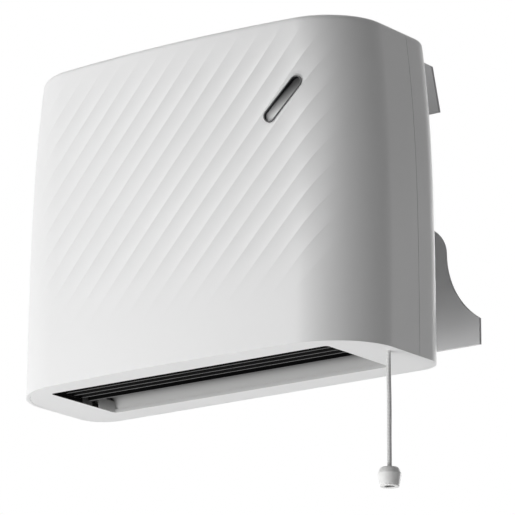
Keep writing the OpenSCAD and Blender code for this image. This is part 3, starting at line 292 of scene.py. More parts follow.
def turned(name, profile, place, steps=48):
    """A form spun round Z from (radius, height) points, closed from the last point to the first, then placed."""
    select_only()
    bpy.ops.mesh.primitive_circle_add(vertices=len(profile), fill_type="NOTHING")
    piece = added(name)
    for vertex, (out, z) in zip(piece.data.vertices, profile):
        vertex.co = (out, 0, z)
    with editing(piece):
        bpy.ops.mesh.spin(steps=steps, angle=TAU, center=(0, 0, 0), axis=(0, 0, 1))
    recalculate(piece)
    piece.matrix_world = place
    return place_mesh(piece)


def joined(name, pieces):
    """Several pieces made one object."""
    select_only(*pieces)
    bpy.ops.object.join()
    return added(name)


def points_of(mesh):
    """The places of a mesh's points, one row each."""
    places = np.empty(len(mesh.vertices) * 3)
    mesh.vertices.foreach_get("co", places)
    return places.reshape(-1, 3)


def wrapped_grid(name, columns, rows, place):
    """A grid primitive whose points are laid where place(i, j) says, for arrays of column and row.

    Its faces are triangles whose long sides run the way the ribs do.
    """
    select_only()
    bpy.ops.mesh.primitive_grid_add(x_subdivisions=columns, y_subdivisions=rows, size=1)
    piece = added(name)
    flat = points_of(piece.data) + 0.5
    i = np.rint(flat[:, 0] * columns).astype(int)
    j = np.rint(flat[:, 1] * rows).astype(int)
    piece.data.vertices.foreach_set("co", np.stack(place(i, j), axis=1).ravel())
    piece.data.update()
    with editing(piece):
        bpy.ops.mesh.quads_convert_to_tris(quad_method="FIXED_ALTERNATE")
    return piece


def copied(node, name):
    """A copy of a CAD node's mesh as a closed piece of its own, with flat faces made whole."""
    select_only()
    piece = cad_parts[node].copy()
    piece.data = piece.data.copy()
    bpy.context.collection.objects.link(piece)
    piece.parent = None
    piece.matrix_world = Matrix.Identity(4)
    piece.name = piece.data.name = name
    piece.data.materials.clear()
    with editing(piece):
        bpy.ops.mesh.remove_doubles(threshold=2e-6)
        bpy.ops.mesh.dissolve_limited(angle_limit=math.radians(0.5))
    return piece


def finish(piece, slot, body="casing", replaces=(), material=None):
    """Gives a piece the slot's material or another, its body, and hides the nodes it stands for."""
    piece.data.materials.clear()
    piece.data.materials.append(material or look(slot))
    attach(piece, body)
    if replaces:
        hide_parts(*replaces)
    return piece


def dressed(node, name, slot, edge=0.0003, steps=2, body="casing", material=None):
    """A CAD node's own form with rounded edges and smooth shading, in the node's place."""
    piece = copied(node, name)
    if edge:
        soften(piece, edge, steps)
    else:
        smooth(piece)
    return finish(piece, slot, body, (node,), material)


def repaint(piece, key, picked):
    """Gives the faces that picked() is true of another finish."""
    piece.data.materials.append(look(key))
    for face in piece.data.polygons:
        if picked(face):
            face.material_index = len(piece.data.materials) - 1


# ---- Outline of the casing, as the model's own ----


def share_up(z):
    """Share of the casing's height, for heights above its base."""
    return np.clip(z / settings("casing").height, 0, 1)


def half_width(z):
    """Half the width of the casing."""
    c = settings("casing")
    return c.width / 2 - c.side_taper * share_up(z) ** c.taper_power


def front_line(z):
    """Depth of the face in the middle of the casing."""
    c = settings("casing")
    return -c.stand_off - c.depth + c.front_lean * share_up(z)


def corner_radius(z):
    """Radius of the front corners."""
    c = settings("casing")
    return c.front_corner - c.corner_shrink * share_up(z)


def bowed(x, y, z):
    """Moves a point back by the bow of the front, less towards the back of the casing."""
    c = settings("casing")
    bow = c.bow_base + (c.bow_top - c.bow_base) * share_up(z)
    return y + bow * (x / half_width(z)) ** 2 * np.clip((-c.stand_off - y) / c.depth, 0, 1)


def eased(t):
    """Runs softly from 0 to 1."""
    t = np.clip(t, 0, 1)
    return t * t * (3 - 2 * t)


def seam_line(side=0):
    """Depth of the joint's middle, or of its edge on the front (-1) or rear (1) cover."""
    c = settings("casing")
    return -c.stand_off - c.seam + side * c.seam_gap / 2


def face_line(x, z):
    """Depth of the outer face at any x, corners included."""
    radius = corner_radius(z)
    into = np.clip(np.abs(x) - (half_width(z) - radius), 0, None)
    return bowed(x, front_line(z) + radius - np.sqrt(radius**2 - into**2), z)


class FrontPath:
    """Points round the front: right side, right corner, face, left corner, left side.

    The ribs' own spacing runs on a little way into the corners, and the rest of a corner is divided by angle.
    """

    SIDE, RIBBED, CORNER, PER_RIB = 5, 22, 36, 12
    CORNER_END, CORNER_FADE = 0.32, 0.55  # where the ribs end in a corner, and over how much of its radius they fade
    LEFT_FADE = 2.2  # how soon the ribs show, coming from the left side
    ON_CREST, SAME_RIB, FAINT = 2e-3, 0.01, 0.06  # ribs a crest may be off, along one edge too, and the least mask

    def __init__(self):
        c, ribs = settings("casing"), settings("ribs")
        self.flat = c.width / 2 - c.front_corner
        self.face = 2 * round(3 * self.flat / ribs.pitch) * self.PER_RIB // 3
        self.step = 2 * self.flat / self.face
        self.rise = self.step * math.tan(ribs.slope)
        self.columns = self.face + 2 * (self.SIDE + self.CORNER)

    def rows(self):
        """Height and inset of each row: the crests pass through its points."""
        c, ribs = settings("casing"), settings("ribs")
        first = (-ribs.shift % self.step) / self.step * self.rise
        plain = c.height - c.top_edge
        heights = [first + k * self.rise for k in range(int(plain / self.rise) + 1)]
        return wall_rows([0] + [z for z in heights if self.rise / 3 < z < plain - self.rise / 3])

    def point(self, i, z, inset):
        """x and y of column i at height z, set in by inset."""
        z = np.asarray(z, float)
        near = np.where(i > self.columns / 2, self.columns - i, i)
        sign = np.where(i > self.columns / 2, -1.0, 1.0)
        radius, half, front = corner_radius(z), half_width(z), front_line(z)
        flat = half - radius
        side = np.clip(near / self.SIDE, 0, 1)
        into = np.clip(self.SIDE + self.CORNER - near, 0, self.CORNER)
        spaced = np.arccos(np.clip(np.minimum(into, self.RIBBED) * self.step * flat / self.flat / radius, 0, 1))
        angle = spaced * np.clip((self.CORNER - into) / (self.CORNER - self.RIBBED), 0, 1)
        angle = np.where(into <= self.RIBBED, spaced, angle)
        along = np.clip((near - self.SIDE - self.CORNER) / (self.face / 2), 0, 1)
        on_side = near < self.SIDE
        on_face = into == 0
        round_x = flat + (radius - inset) * np.cos(angle)
        x = np.where(on_side, half - inset, np.where(on_face, (1 - along) * flat, round_x))
        seam = seam_line(-1)
        y = np.where(on_side, seam + (front + radius - seam) * side,
                     np.where(on_face, front + inset, front + radius - (radius - inset) * np.sin(angle)))
        return sign * x, np.where(near == 0, seam, bowed(x, y, z))

    def mask(self, x, z):
        """How strongly the ribs show: they fade below, above, into the corners and towards the left."""
        ribs, radius, half = settings("ribs"), corner_radius(z), half_width(z)
        mask = eased((z - ribs.bottom) / ribs.fade) * eased((settings("casing").height - z) / ribs.top_fade)
        mask = mask * eased((half - radius * self.CORNER_END - np.abs(x)) / (radius * self.CORNER_FADE))
        return mask * np.where(x < 0, eased((half + x) / half * self.LEFT_FADE), 1)

    def phase(self, x, z):
        """Number of the rib at a point; whole numbers are crests."""
        ribs = settings("ribs")
        across = x / (half_width(z) - corner_radius(z)) * self.flat
        return (across - ribs.shift - z / math.tan(ribs.slope)) / (self.step * self.PER_RIB)

    def relief(self, x, z):
        """Depth of the hollows between the crests, which run up to the right."""
        part = self.phase(x, z) % 1
        return settings("ribs").depth * self.mask(x, z) * (1 - (2 * part - 1) ** 2)

    def crease(self, piece):
        """Marks the edges along the crests sharp."""
        mesh = piece.data
        points = points_of(mesh)
        ends = np.empty(len(mesh.edges) * 2, int)
        mesh.edges.foreach_get("vertices", ends)
        ends = ends.reshape(-1, 2)
        x, z = points[:, 0], points[:, 2] - BASE_Z
        phase = self.phase(x, z)
        crest = (np.abs(phase - np.rint(phase)) < self.ON_CREST) & (self.mask(x, z) > self.FAINT)
        same = np.abs(phase[ends[:, 0]] - phase[ends[:, 1]]) < self.SAME_RIB
        sharp = crest[ends].all(axis=1) & same & (np.abs(z[ends[:, 0]] - z[ends[:, 1]]) > self.rise / 2)
        mark = mesh.attributes.get("sharp_edge") or mesh.attributes.new("sharp_edge", "BOOLEAN", "EDGE")
        old = np.empty(len(mesh.edges), bool)
        mark.data.foreach_get("value", old)
        mark.data.foreach_set("value", old | sharp)
        mesh.update()


class RearPath:
    """Points round the back: left side, left corner, back, right corner, right side."""

    SIDE, CORNER, BACK, ROWS = 4, 14, 12, 40

    def __init__(self):
        self.columns = 2 * (self.SIDE + self.CORNER) + self.BACK

    def rows(self):
        """Height and inset of each row."""
        c = settings("casing")
        return wall_rows(np.linspace(0, c.height - c.top_edge, self.ROWS)[:-1])

    def point(self, i, z, inset):
        """x and y of column i at height z, set in by inset."""
        c = settings("casing")
        z = np.asarray(z, float)
        near = np.where(i > self.columns / 2, self.columns - i, i)
        sign = np.where(i > self.columns / 2, 1.0, -1.0)
        half, radius, back = half_width(z), c.rear_corner, -c.stand_off
        side = np.clip(near / self.SIDE, 0, 1)
        angle = np.clip((near - self.SIDE) / self.CORNER, 0, 1) * math.pi / 2
        along = np.clip((near - self.SIDE - self.CORNER) / (self.BACK / 2), 0, 1)
        round_x = half - radius + (radius - inset) * np.cos(angle)
        x = np.where(near <= self.SIDE, half - inset, np.where(along > 0, (1 - along) * (half - radius), round_x))
        y = np.where(near <= self.SIDE, seam_line(1) + (back - radius - seam_line(1)) * side,
                     back - radius + (radius - inset) * np.sin(angle))
        return sign * x, y

    def relief(self, x, z):
        """The back is plain."""
        return 0


def wall_rows(plain, edge_steps=8):
    """Height and inset of each row of a casing wall: the plain ones, then the rounded top edge."""
    c = settings("casing")
    angles = [math.pi / 2 * k / edge_steps for k in range(edge_steps + 1)]
    edge = [(c.height - c.top_edge * (1 - math.sin(a)), c.top_edge * (1 - math.cos(a))) for a in angles]
    return np.array([(z, 0) for z in plain] + edge)


# ---- Materials ----


def cleared(owner):
    """The node tree of a material or world, switched on and emptied."""
    owner.use_nodes = True
    owner.node_tree.nodes.clear()
    return owner.node_tree


def add_node(tree, kind, inputs=None, **properties):
    """A shader node with its own properties, and its inputs set to values or joined to other sockets."""
    node = tree.nodes.new("ShaderNode" + kind)
    for key, value in properties.items():
        setattr(node, key, value)
    for key, value in (inputs or {}).items():
        if isinstance(value, bpy.types.NodeSocket):
            tree.links.new(value, node.inputs[key])
        else:
            node.inputs[key].default_value = value
    return node


GRAIN = "Moulded grain"
BRAID = "Braid shade"


def group_tree(name, numbers, results):
    """A node group that takes a vector and numbers and gives numbers: its tree and the sockets inside it."""
    tree = bpy.data.node_groups.new(name, "ShaderNodeTree")
    tree.interface.new_socket("Vector", in_out="INPUT", socket_type="NodeSocketVector")
    for label, default in numbers.items():
        tree.interface.new_socket(label, in_out="INPUT", socket_type="NodeSocketFloat").default_value = default
    for label in results:
        tree.interface.new_socket(label, in_out="OUTPUT", socket_type="NodeSocketFloat")
    return tree, tree.nodes.new("NodeGroupInput").outputs, tree.nodes.new("NodeGroupOutput").inputs


def grain_group():
    """Fine texture of a moulded surface: a height for the bump, and a mask that varies broadly."""
    if GRAIN in bpy.data.node_groups:
        return bpy.data.node_groups[GRAIN]
    tree, given, results = group_tree(GRAIN, {"Scale": 900.0, "Patch": 18.0}, ("Height", "Mask"))
    fine = add_node(tree, "TexNoise", {
        "Vector": given["Vector"], "Scale": given["Scale"], "Detail": 3, "Roughness": 0.6})
    broad = add_node(tree, "TexNoise", {"Vector": given["Vector"], "Scale": given["Patch"], "Detail": 2})
    tree.links.new(fine.outputs["Fac"], results["Height"])
    tree.links.new(broad.outputs["Fac"], results["Mask"])
    return tree


def between(tree, mask, low, high):
    """A value that runs from low to high as the mask does over its middle."""
    return add_node(tree, "MapRange", {
        "Value": mask, "From Min": 0.3, "From Max": 0.7, "To Min": low, "To Max": high}).outputs["Result"]


def tinted(tree, mask, colour_value, spread):
    """The colour, varied a little by the mask."""
    low, high = [(*[min(v * share, 1) for v in colour_value], 1) for share in (1 - spread, 1 + spread)]
    return add_node(tree, "Mix", {"Factor": mask, "A": low, "B": high}, data_type="RGBA").outputs["Result"]


def graded(tree, where, pale, dark, way, start, end, power):
    """Painted shade: from the dark colour to the pale one along a direction of the object, between two distances."""
    along = add_node(tree, "VectorMath", {0: where, 1: way}, operation="DOT_PRODUCT")
    share = add_node(tree, "MapRange", {"Value": along.outputs["Value"], "From Min": start, "From Max": end})
    curve = add_node(tree, "Math", {0: share.outputs["Result"], 1: power}, operation="POWER")
    return add_node(tree, "Mix", {
        "Factor": curve.outputs["Value"], "A": (*dark, 1), "B": pale}, data_type="RGBA").outputs["Result"]


def bumped(tree, height, strength, depth):
    """A normal raised by a height."""
    return add_node(tree, "Bump", {"Height": height, "Strength": strength, "Distance": depth}).outputs["Normal"]


def new_material(name):
    """A material with an emptied tree, and the sockets of its coordinates."""
    material = bpy.data.materials.new(name)
    tree = cleared(material)
    return material, tree, add_node(tree, "TexCoord").outputs


def end_in_principled(tree, inputs):
    """Ends a material's tree in a Principled shader."""
    shader = add_node(tree, "BsdfPrincipled", inputs)
    add_node(tree, "OutputMaterial", {"Surface": shader.outputs["BSDF"]})


def surface(name, base, rough, spread=0.015, scale=900.0, bump=0.05, depth=0.0001, metal=0.0, coat=0.0,
            patch=18.0, specular=0.5, rough_spread=0.05, shade=None):
    """A finish with grain, broad variation of colour and roughness, an optional clear coat and optional painted
    shade.
    """
    if name in bpy.data.materials:
        return bpy.data.materials[name]
    material, tree, where = new_material(name)
    grain = add_node(tree, "Group", {"Vector": where["Object"], "Scale": scale, "Patch": patch},
                     node_tree=grain_group()).outputs
    tint = tinted(tree, grain["Mask"], base, spread)
    if shade:
        tint = graded(tree, where["Object"], tint, *shade)
    end_in_principled(tree, {
        "Base Color": tint, "Metallic": metal, "Specular IOR Level": specular, "Coat Weight": coat,
        "Coat Roughness": 0.08, "Roughness": between(tree, grain["Mask"], rough - rough_spread, rough + rough_spread),
        "Normal": bumped(tree, grain["Height"], bump, depth)})
    return material


# Painted shades: the dark colour, the way it gets paler, where that starts and ends, and the power of its curve.
# The deflector is painted darker further up, as painted shade; the lens's painted shadow is near black at its upper
# left, measured from its middle.
DEFLECTOR_SHADE = ((0.10, 0.10, 0.10), (0, 0, -1), -BASE_Z - 0.011, -BASE_Z - 0.001, 0.8)
LENS_SHADE = ((0.004, 0.004, 0.0045), (0.45, 0, -0.89), -0.0085, 0.0058, 2.2)

# Name, colour or the setting that holds it, roughness, and what else differs from surface()'s own values
LOOKS = {
    "casing_white": ("Casing white", "casing", 0.42, dict(spread=0.006, scale=1400, bump=0.04)),
    # The deflector's colour carries a painted shade, darker further up.
    "deflector_white": ("Deflector white", "deflector", 0.6,
                        dict(spread=0.02, bump=0.08, specular=0.25, shade=DEFLECTOR_SHADE)),
    "louvre_black": ("Louvre black", "louvre", 0.5, dict(spread=0.2, bump=0.1, specular=0.06)),
    # A paler copy of the louvre's black: painted highlight.
    "louvre_edge": ("Louvre edge", (0.13, 0.13, 0.13), 0.6, dict(spread=0.1, bump=0.1, specular=0.2)),
    "louvre_post": ("Louvre post", (0.10, 0.10, 0.10), 0.55, dict(spread=0.1, bump=0.1, specular=0.2)),
    "bezel_dark": ("Bezel dark", "bezel", 0.22, dict(spread=0.1, coat=0.4)),
    # The lens: a pale colour under a painted shadow at its upper left.
    "lens_smoke": ("Smoked lens", "lens", 0.15, dict(spread=0.02, bump=0.02, rough_spread=0.03, specular=0.2)),
    "plate_grey": ("Powder coat grey", "plate", 0.7, dict(spread=0.015, scale=1600, bump=0.2, specular=0.15)),
    "zinc_steel": ("Zinc plated steel", (0.60, 0.61, 0.62), 0.34, dict(spread=0.08, scale=500, metal=1, patch=160)),
    "sheet_steel": ("Galvanised sheet", (0.52, 0.53, 0.54), 0.42, dict(spread=0.14, scale=260, metal=1, patch=90)),
    "fan_alloy": ("Rolled aluminium", (0.70, 0.71, 0.72), 0.36, dict(spread=0.05, scale=700, metal=1, patch=60)),
    "stack_steel": ("Laminated steel", (0.22, 0.22, 0.23), 0.50, dict(spread=0.15, scale=1200, bump=0.3, metal=1)),
    "winding_copper": ("Lacquered winding", (0.50, 0.18, 0.07), 0.30,
                       dict(spread=0.12, scale=1500, bump=0.4, metal=1)),
    "bracket_alloy": ("Cast alloy", (0.58, 0.59, 0.60), 0.48, dict(spread=0.06, scale=800, bump=0.3, metal=1)),
    "bush_bronze": ("Sintered bronze", (0.50, 0.34, 0.13), 0.45, dict(spread=0.1, scale=2200, bump=0.3, metal=1)),
    "rubber_black": ("Black rubber", (0.018, 0.018, 0.018), 0.62, dict(spread=0.15, scale=1200, bump=0.2)),
    "mica_board": ("Mica board", (0.56, 0.50, 0.36), 0.50, dict(spread=0.12, scale=420, patch=140)),
    "ribbon_alloy": ("Resistance ribbon", (0.33, 0.30, 0.28), 0.44, dict(spread=0.15, scale=600, metal=1, patch=80)),
    "ceramic_pale": ("Ceramic", (0.76, 0.71, 0.60), 0.50, dict(spread=0.05, bump=0.15)),
    "nylon_white": ("White nylon", (0.80, 0.80, 0.77), 0.45, dict(spread=0.03, bump=0.08)),
    "screw_brass": ("Brass", (0.70, 0.50, 0.20), 0.28, dict(spread=0.08, scale=500, metal=1, patch=160)),
    "board_green": ("Printed board", (0.03, 0.16, 0.06), 0.40, dict(spread=0.25, scale=500, patch=220, coat=0.3)),
    "acorn_white": ("Acorn white", (0.84, 0.84, 0.83), 0.34, dict(spread=0.01, bump=0.05)),
    "acorn_hollow": ("Acorn hollow", (0.30, 0.30, 0.30), 0.6, dict(spread=0.05, specular=0.2)),
    # The knot: dark grey though it is the white cord, painted shade up in the acorn's hollow.
    "knot": ("Knot", (0.22, 0.22, 0.22), 0.8, dict(spread=0.1, scale=1500, bump=0.6)),
    "lamp_amber": ("Indicator lamp", (0.75, 0.20, 0.05), 0.20, dict(spread=0.05, coat=0.5)),
    "floor": ("Pale floor", (0.82, 0.82, 0.82), 0.7, dict(spread=0.01, scale=40, patch=2)),
}


def look(key):
    """The material of a slot, or of a detail with a finish of its own."""
    name, base, rough, values = LOOKS[key]
    if isinstance(base, str):
        base = getattr(settings("finish"), base)
    # The lens is painted near black at its upper left, fading to its pale colour: painted shadow.
    if key == "lens_smoke":
        values = dict(values, shade=lens_shade())
    return surface(name, base, rough, **values)


def lens_shade():
    """The lens's painted shadow, placed round the middle of the lens."""
    c, w = settings("casing"), settings("window")
    dark, way, start, end, power = LENS_SHADE
    middle = Vector(way).dot(Vector((c.width / 2 - w.side, 0, BASE_Z + c.height - w.drop)))
    return dark, way, middle + start, middle + end, power


def braid_group():
    """Shade and height of a braid, from how far along and round the cord a point lies."""
    tree, given, results = group_tree(BRAID, {"Strands": 6.0, "Turns": 7.0}, ("Shade", "Height"))
    parts = add_node(tree, "SeparateXYZ", {"Vector": given["Vector"]}).outputs

    def maths(kind, *values):
        return add_node(tree, "Math", dict(enumerate(values)), operation=kind).outputs["Value"]

    along = maths("MULTIPLY", parts["Y"], given["Turns"])
    waves = []
    for way in ("ADD", "SUBTRACT"):
        phase = maths("MULTIPLY", maths(way, along, parts["X"]), given["Strands"])
        waves.append(maths("COSINE", maths("MULTIPLY", phase, TAU)))
    woven = maths("MULTIPLY", *waves)
    tree.links.new(maths("MULTIPLY_ADD", woven, 0.5, 0.5), results["Shade"])
    tree.links.new(woven, results["Height"])
    return tree


def cord_braid():
    """Braided cotton cord, shaded along its own UV map."""
    cord = settings("cord")
    material, tree, where = new_material("Braided cord")
    braid = add_node(tree, "Group", {"Vector": where["UV"], "Strands": cord.strands, "Turns": CORD_LENGTH / cord.lay},
                     node_tree=braid_group()).outputs
    end_in_principled(tree, {
        # The strands' dips are painted darker than their crowns: painted shade between the strands.
        "Base Color": tinted(tree, braid["Shade"], settings("finish").cord, 0.35),
        "Roughness": between(tree, braid["Shade"], 0.85, 0.70),
        "Normal": bumped(tree, braid["Height"], 0.5, 0.0002)})
    return material


# ---- Camera ----


def casing_middle():
    """The point that the camera and the lights turn round."""
    c = settings("casing")
    return Vector((0, -c.stand_off - c.depth / 2, BASE_Z + c.height / 2))


def way_out(azimuth, elevation):
    """The way from the heater to something at an angle from straight ahead, to the right, and a height."""
    flat = math.cos(elevation)
    return Vector((math.sin(azimuth) * flat, -math.cos(azimuth) * flat, math.sin(elevation)))


class HEATER_OT_camera(Operator):
    """Add the camera at the photograph's viewing angle"""

    bl_idname = "heater.camera"
    bl_label = "Camera"

    FRAME_WIDTH = 515  # pixels of the photograph's frame
    AIM = (217.70, 219.36)  # pixel at which the middle of the casing lies

    def execute(self, context):
        stage = settings("stage")
        back = way_out(stage.azimuth, stage.elevation)
        right = Vector((math.cos(stage.azimuth), math.sin(stage.azimuth), 0))
        up = back.cross(right)
        centre = self.FRAME_WIDTH / 2
        aim = -back + right * (centre - self.AIM[0]) / stage.focal + up * (self.AIM[1] - centre) / stage.focal
        select_only()
        bpy.ops.object.camera_add(location=casing_middle() + back * stage.distance)
        camera = added("Camera")
        camera.rotation_euler = aim.to_track_quat("-Z", "Y").to_euler()
        camera.data.sensor_width = 36
        camera.data.lens = camera.data.sensor_width * stage.focal / self.FRAME_WIDTH
        camera.data.clip_start = 0.1
        camera.data.clip_end = 50
        context.scene.camera = camera
        return {"FINISHED"}


# ---- Cord and acorn ----

# The route of the free cord, in millimetres from where it leaves the base
CORD_ROUTE = [
    (0, 0, 0), (0, 0, -5.4), (0, 0, -10.8), (0, 0, -16.2), (0, 0.1, -21.6), (0.1, 0.1, -27),
    (0.1, 0.2, -32.4), (0.1, 0.2, -37.8), (0.1, 0.2, -43.2), (0.1, 0.1, -48.6), (0, 0.1, -54),
    (0, 0, -59.4), (0, 0, -64.8), (0, 0, -70.2), (0, 0, -75.6), (0, 0, -81)]
CORD_LENGTH = 0.081


def cord_exit():
    """Where the cord leaves the base."""
    c, cord = settings("casing"), settings("cord")
    return Vector((c.width / 2 - cord.side, -c.stand_off - c.depth + cord.front, BASE_Z))


def cord_path():
    """The cord's route in the row frame."""
    return [cord_exit() + Vector(p) / 1000 for p in CORD_ROUTE]


class HEATER_OT_pull_cord(Operator):
    """Add the pull cord, braided round its own route, with its acorn and knot"""

    bl_idname = "heater.pull_cord"
    bl_label = "Pull Cord"

    ROUND, PER_POINT = 36, 16
    PROUD = 0.08  # how far a strand stands out, as a share of the radius

    def braided_tube(self):
        """A tube along the route whose wall rises and falls with the strands."""
        cord = settings("cord")
        route = np.array([list(p) for p in cord_path()])
        rings = (len(route) - 1) * self.PER_POINT
        along = np.linspace(0, 1, rings + 1)
        line = np.stack([np.interp(along * (len(route) - 1), range(len(route)), route[:, k]) for k in range(3)], 1)

        def place(i, j):
            angle = TAU * i / self.ROUND
            down = j / rings * CORD_LENGTH / cord.lay
            weave = 1
            for way in (1, -1):
                weave = weave * np.cos(cord.strands * (angle + way * TAU * down))
            radius = cord.diameter / 2 * (1 - self.PROUD * (1 - weave) / 2)
            middle = line[j]
            return middle[:, 0] + radius * np.cos(angle), middle[:, 1] + radius * np.sin(angle), middle[:, 2]

        return wrapped_grid("pull_cord_braid", self.ROUND, rings, place)

    def acorn(self):
        """Moulded acorn: sloping shoulder, straight flank and hollow underneath, spun round the cord."""
        cord = settings("cord")
        r, h, widest = cord.acorn_width / 2, cord.acorn_height, 0.345  # the widest place, as a share of the height
        hole, recess, deep, edge = cord.diameter / 2 + 0.0002, 0.0036, 0.0064, 0.00025  # of the hollow and its rim
        profile = [(hole, 0), (0.58 * r, 0), (0.70 * r, -0.015 * h), (0.77 * r, -0.045 * h), (0.82 * r, -0.09 * h),
                   (0.995 * r, 0.0002 - widest * h), (r, -widest * h), (0.998 * r, -0.0002 - widest * h),
                   (0.84 * r, edge - h), (0.84 * r - edge, -h), (recess + edge, -h), (recess, edge - h),
                   (recess, deep - h), (hole, deep - h)]
        foot = cord_path()[-1]
        acorn = smooth(turned("acorn_pull", profile, Matrix.Translation(foot), 72), 30)
        finish(acorn, "acorn_white", "cord", ("cord_acorn",))
        # Faces inside the hollow get a darker grey than the white acorn: painted shade in the recess.
        repaint(acorn, "acorn_hollow", lambda face: (face.center - foot).xy.length < recess + edge / 4
                and face.center.z < foot.z - 0.001)
        return acorn

    def execute(self, context):
        cord = settings("cord")
        tube = self.braided_tube()
        acorn = self.acorn()
        finish(tube, "cord_white", "cord", ("pull_cord",), cord_braid())
        smooth(tube, 180)
        # The knot is coloured dark grey: painted shade where it sits in the acorn's hollow.
        knot = dressed("acorn_knot", "acorn_knot_tied", "cord_white", 0.0006, 3, "cord", look("knot"))
        cord_exit()
        cord_path()
        return {"FINISHED"}


# ---- Casing ----

CASING_EDGE, CASING_SMOOTH = 0.00035, 32  # radius of the moulded edges, and the angle up to which faces look smooth
BOSS_R, BOSS_GAP = 0.0045, 0.003  # radius of the bosses, and how far they stop short of the joint
RIM, HOLE_RIM = 0.0003, 0.0002  # chamfers of a boss and of its hole
PASSING_R, PILOT_R = 0.0017, 0.0012  # radii of the holes that screws pass through and cut into
SCREW_HEIGHTS = (0.075, 0.219)


def close_top(piece, height):
    """Fills the open top with one flat face, out to the seam."""
    with editing(piece, "DESELECT"):
        mesh = bmesh.from_edit_mesh(piece.data)
        for edge in mesh.edges:
            edge.select = edge.is_boundary and all(abs(v.co.z - height) < 1e-6 for v in edge.verts)
        bmesh.update_edit_mesh(piece.data)
        bpy.ops.mesh.select_mode(type="EDGE")
        bpy.ops.mesh.edge_face_add()
    return piece


def casing_wall(name, path):
    """A wall of the casing along a path, closed above, with its thickness inwards."""
    c, rows = settings("casing"), path.rows()

    def place(i, j):
        z, inset = rows[j, 0], rows[j, 1]
        x, y = path.point(i, z, inset)
        return x, y + path.relief(x, z), z + BASE_Z

    shell = wrapped_grid(name, path.columns, len(rows) - 1, place)
    close_top(shell, BASE_Z + c.height)
    recalculate(shell)
    return modify(shell, "SOLIDIFY", thickness=c.wall, offset=-1)


def window_frame():
    """Where the window sits: origin on the face, Z out of the casing, X along the window."""
    c, w = settings("casing"), settings("window")
    x, z = c.width / 2 - w.side, c.height - w.drop
    reach = (w.span - w.width) / 2 * math.cos(w.slope)
    near, far = float(face_line(x - reach, z)), float(face_line(x + reach, z))
    yaw = math.atan2(far - near, 2 * reach)
    tilt = math.atan2(c.front_lean, c.height)
    return (Matrix.Translation((x, (near + far) / 2, BASE_Z + z)) @ Matrix.Rotation(yaw, 4, "Z")
            @ Matrix.Rotation(math.pi / 2 - tilt, 4, "X") @ Matrix.Rotation(w.slope, 4, "Z"))


def pill_prism(name, span, width, low, high, steps=24):
    """An upright prism with round ends along X, as the window's outline."""
    select_only()
    count = 4 * steps
    bpy.ops.mesh.primitive_circle_add(vertices=count, radius=width / 2, fill_type="NGON", location=(0, 0, 0))
    piece = added(name)
    for vertex in piece.data.vertices:
        side = 1 if vertex.co.x > 0 or (abs(vertex.co.x) < 1e-9 and vertex.co.y > 0) else -1
        vertex.co.x += side * (span - width) / 2
        vertex.co.z = low
    with editing(piece):
        bpy.ops.mesh.extrude_region_move(TRANSFORM_OT_translate={"value": (0, 0, high - low)})
    return recalculate(piece)


class HEATER_OT_front_cover(Operator):
    """Add the bowed front cover with its diagonal ribs and the window's cut-out"""

    bl_idname = "heater.front_cover"
    bl_label = "Front Cover"

    PLAY = 0.0002  # round the window's rim
    DEPTH = 0.018  # of a screw's hole

    def execute(self, context):
        c, w, path = settings("casing"), settings("window"), FrontPath()
        shell = casing_wall("front_shell", path)
        cutter = pill_prism("window cutter", w.span + self.PLAY, w.width + self.PLAY, -3 * c.wall, 3 * c.wall)
        cutter.matrix_world = window_frame()
        place_mesh(cutter)
        cut(shell, cutter)
        round_edges(shell, CASING_EDGE)
        shell = joined("front_shell_ribbed", [self.boss(x, z) for x, z in screw_places()] + [shell])
        smooth(shell, CASING_SMOOTH)
        path.crease(shell)
        modify(shell, "WEIGHTED_NORMAL", keep_sharp=True)
        finish(shell, "casing_white", replaces=("front_cover",))
        return {"FINISHED"}

    def boss(self, x, z):
        """A boss inside the front, with the hole its screw cuts a thread in."""
        start = float(face_line(abs(x) + BOSS_R, z)) + settings("casing").wall / 2
        reach, hole = seam_line() - BOSS_GAP - start, PILOT_R
        profile = [(1e-5, 0), (BOSS_R, 0), (BOSS_R, reach - RIM), (BOSS_R - RIM, reach), (hole + HOLE_RIM, reach),
                   (hole, reach - HOLE_RIM), (hole, reach - self.DEPTH), (1e-5, reach - self.DEPTH)]
        return turned("boss", profile, along_y(x, start, z), 32)


def screw_places():
    """x and height above the base of the four screws that join the covers."""
    x = float(half_width(SCREW_HEIGHTS[1])) - settings("casing").rear_corner - BOSS_R
    return [(side * x, z) for z in SCREW_HEIGHTS for side in (-1, 1)]


def along_y(x, y, z):
    """Turns an upright form to point backwards from a place, whose height is above the base."""
    return Matrix.Translation((x, y, BASE_Z + z)) @ Matrix.Rotation(-math.pi / 2, 4, "X")


def along_x(x, y, z):
    """Turns an upright form to point to the right from a place, whose height is above the base."""
    return Matrix.Translation((x, y, BASE_Z + z)) @ Matrix.Rotation(math.pi / 2, 4, "Y")


def rod(name, radius, reach, place, steps=32):
    """A round bar, used as a cutter."""
    select_only()
    bpy.ops.mesh.primitive_cylinder_add(vertices=steps, radius=radius, depth=reach, location=(0, 0, reach / 2))
    piece = place_mesh(added(name))
    piece.matrix_world = place
    return place_mesh(piece)


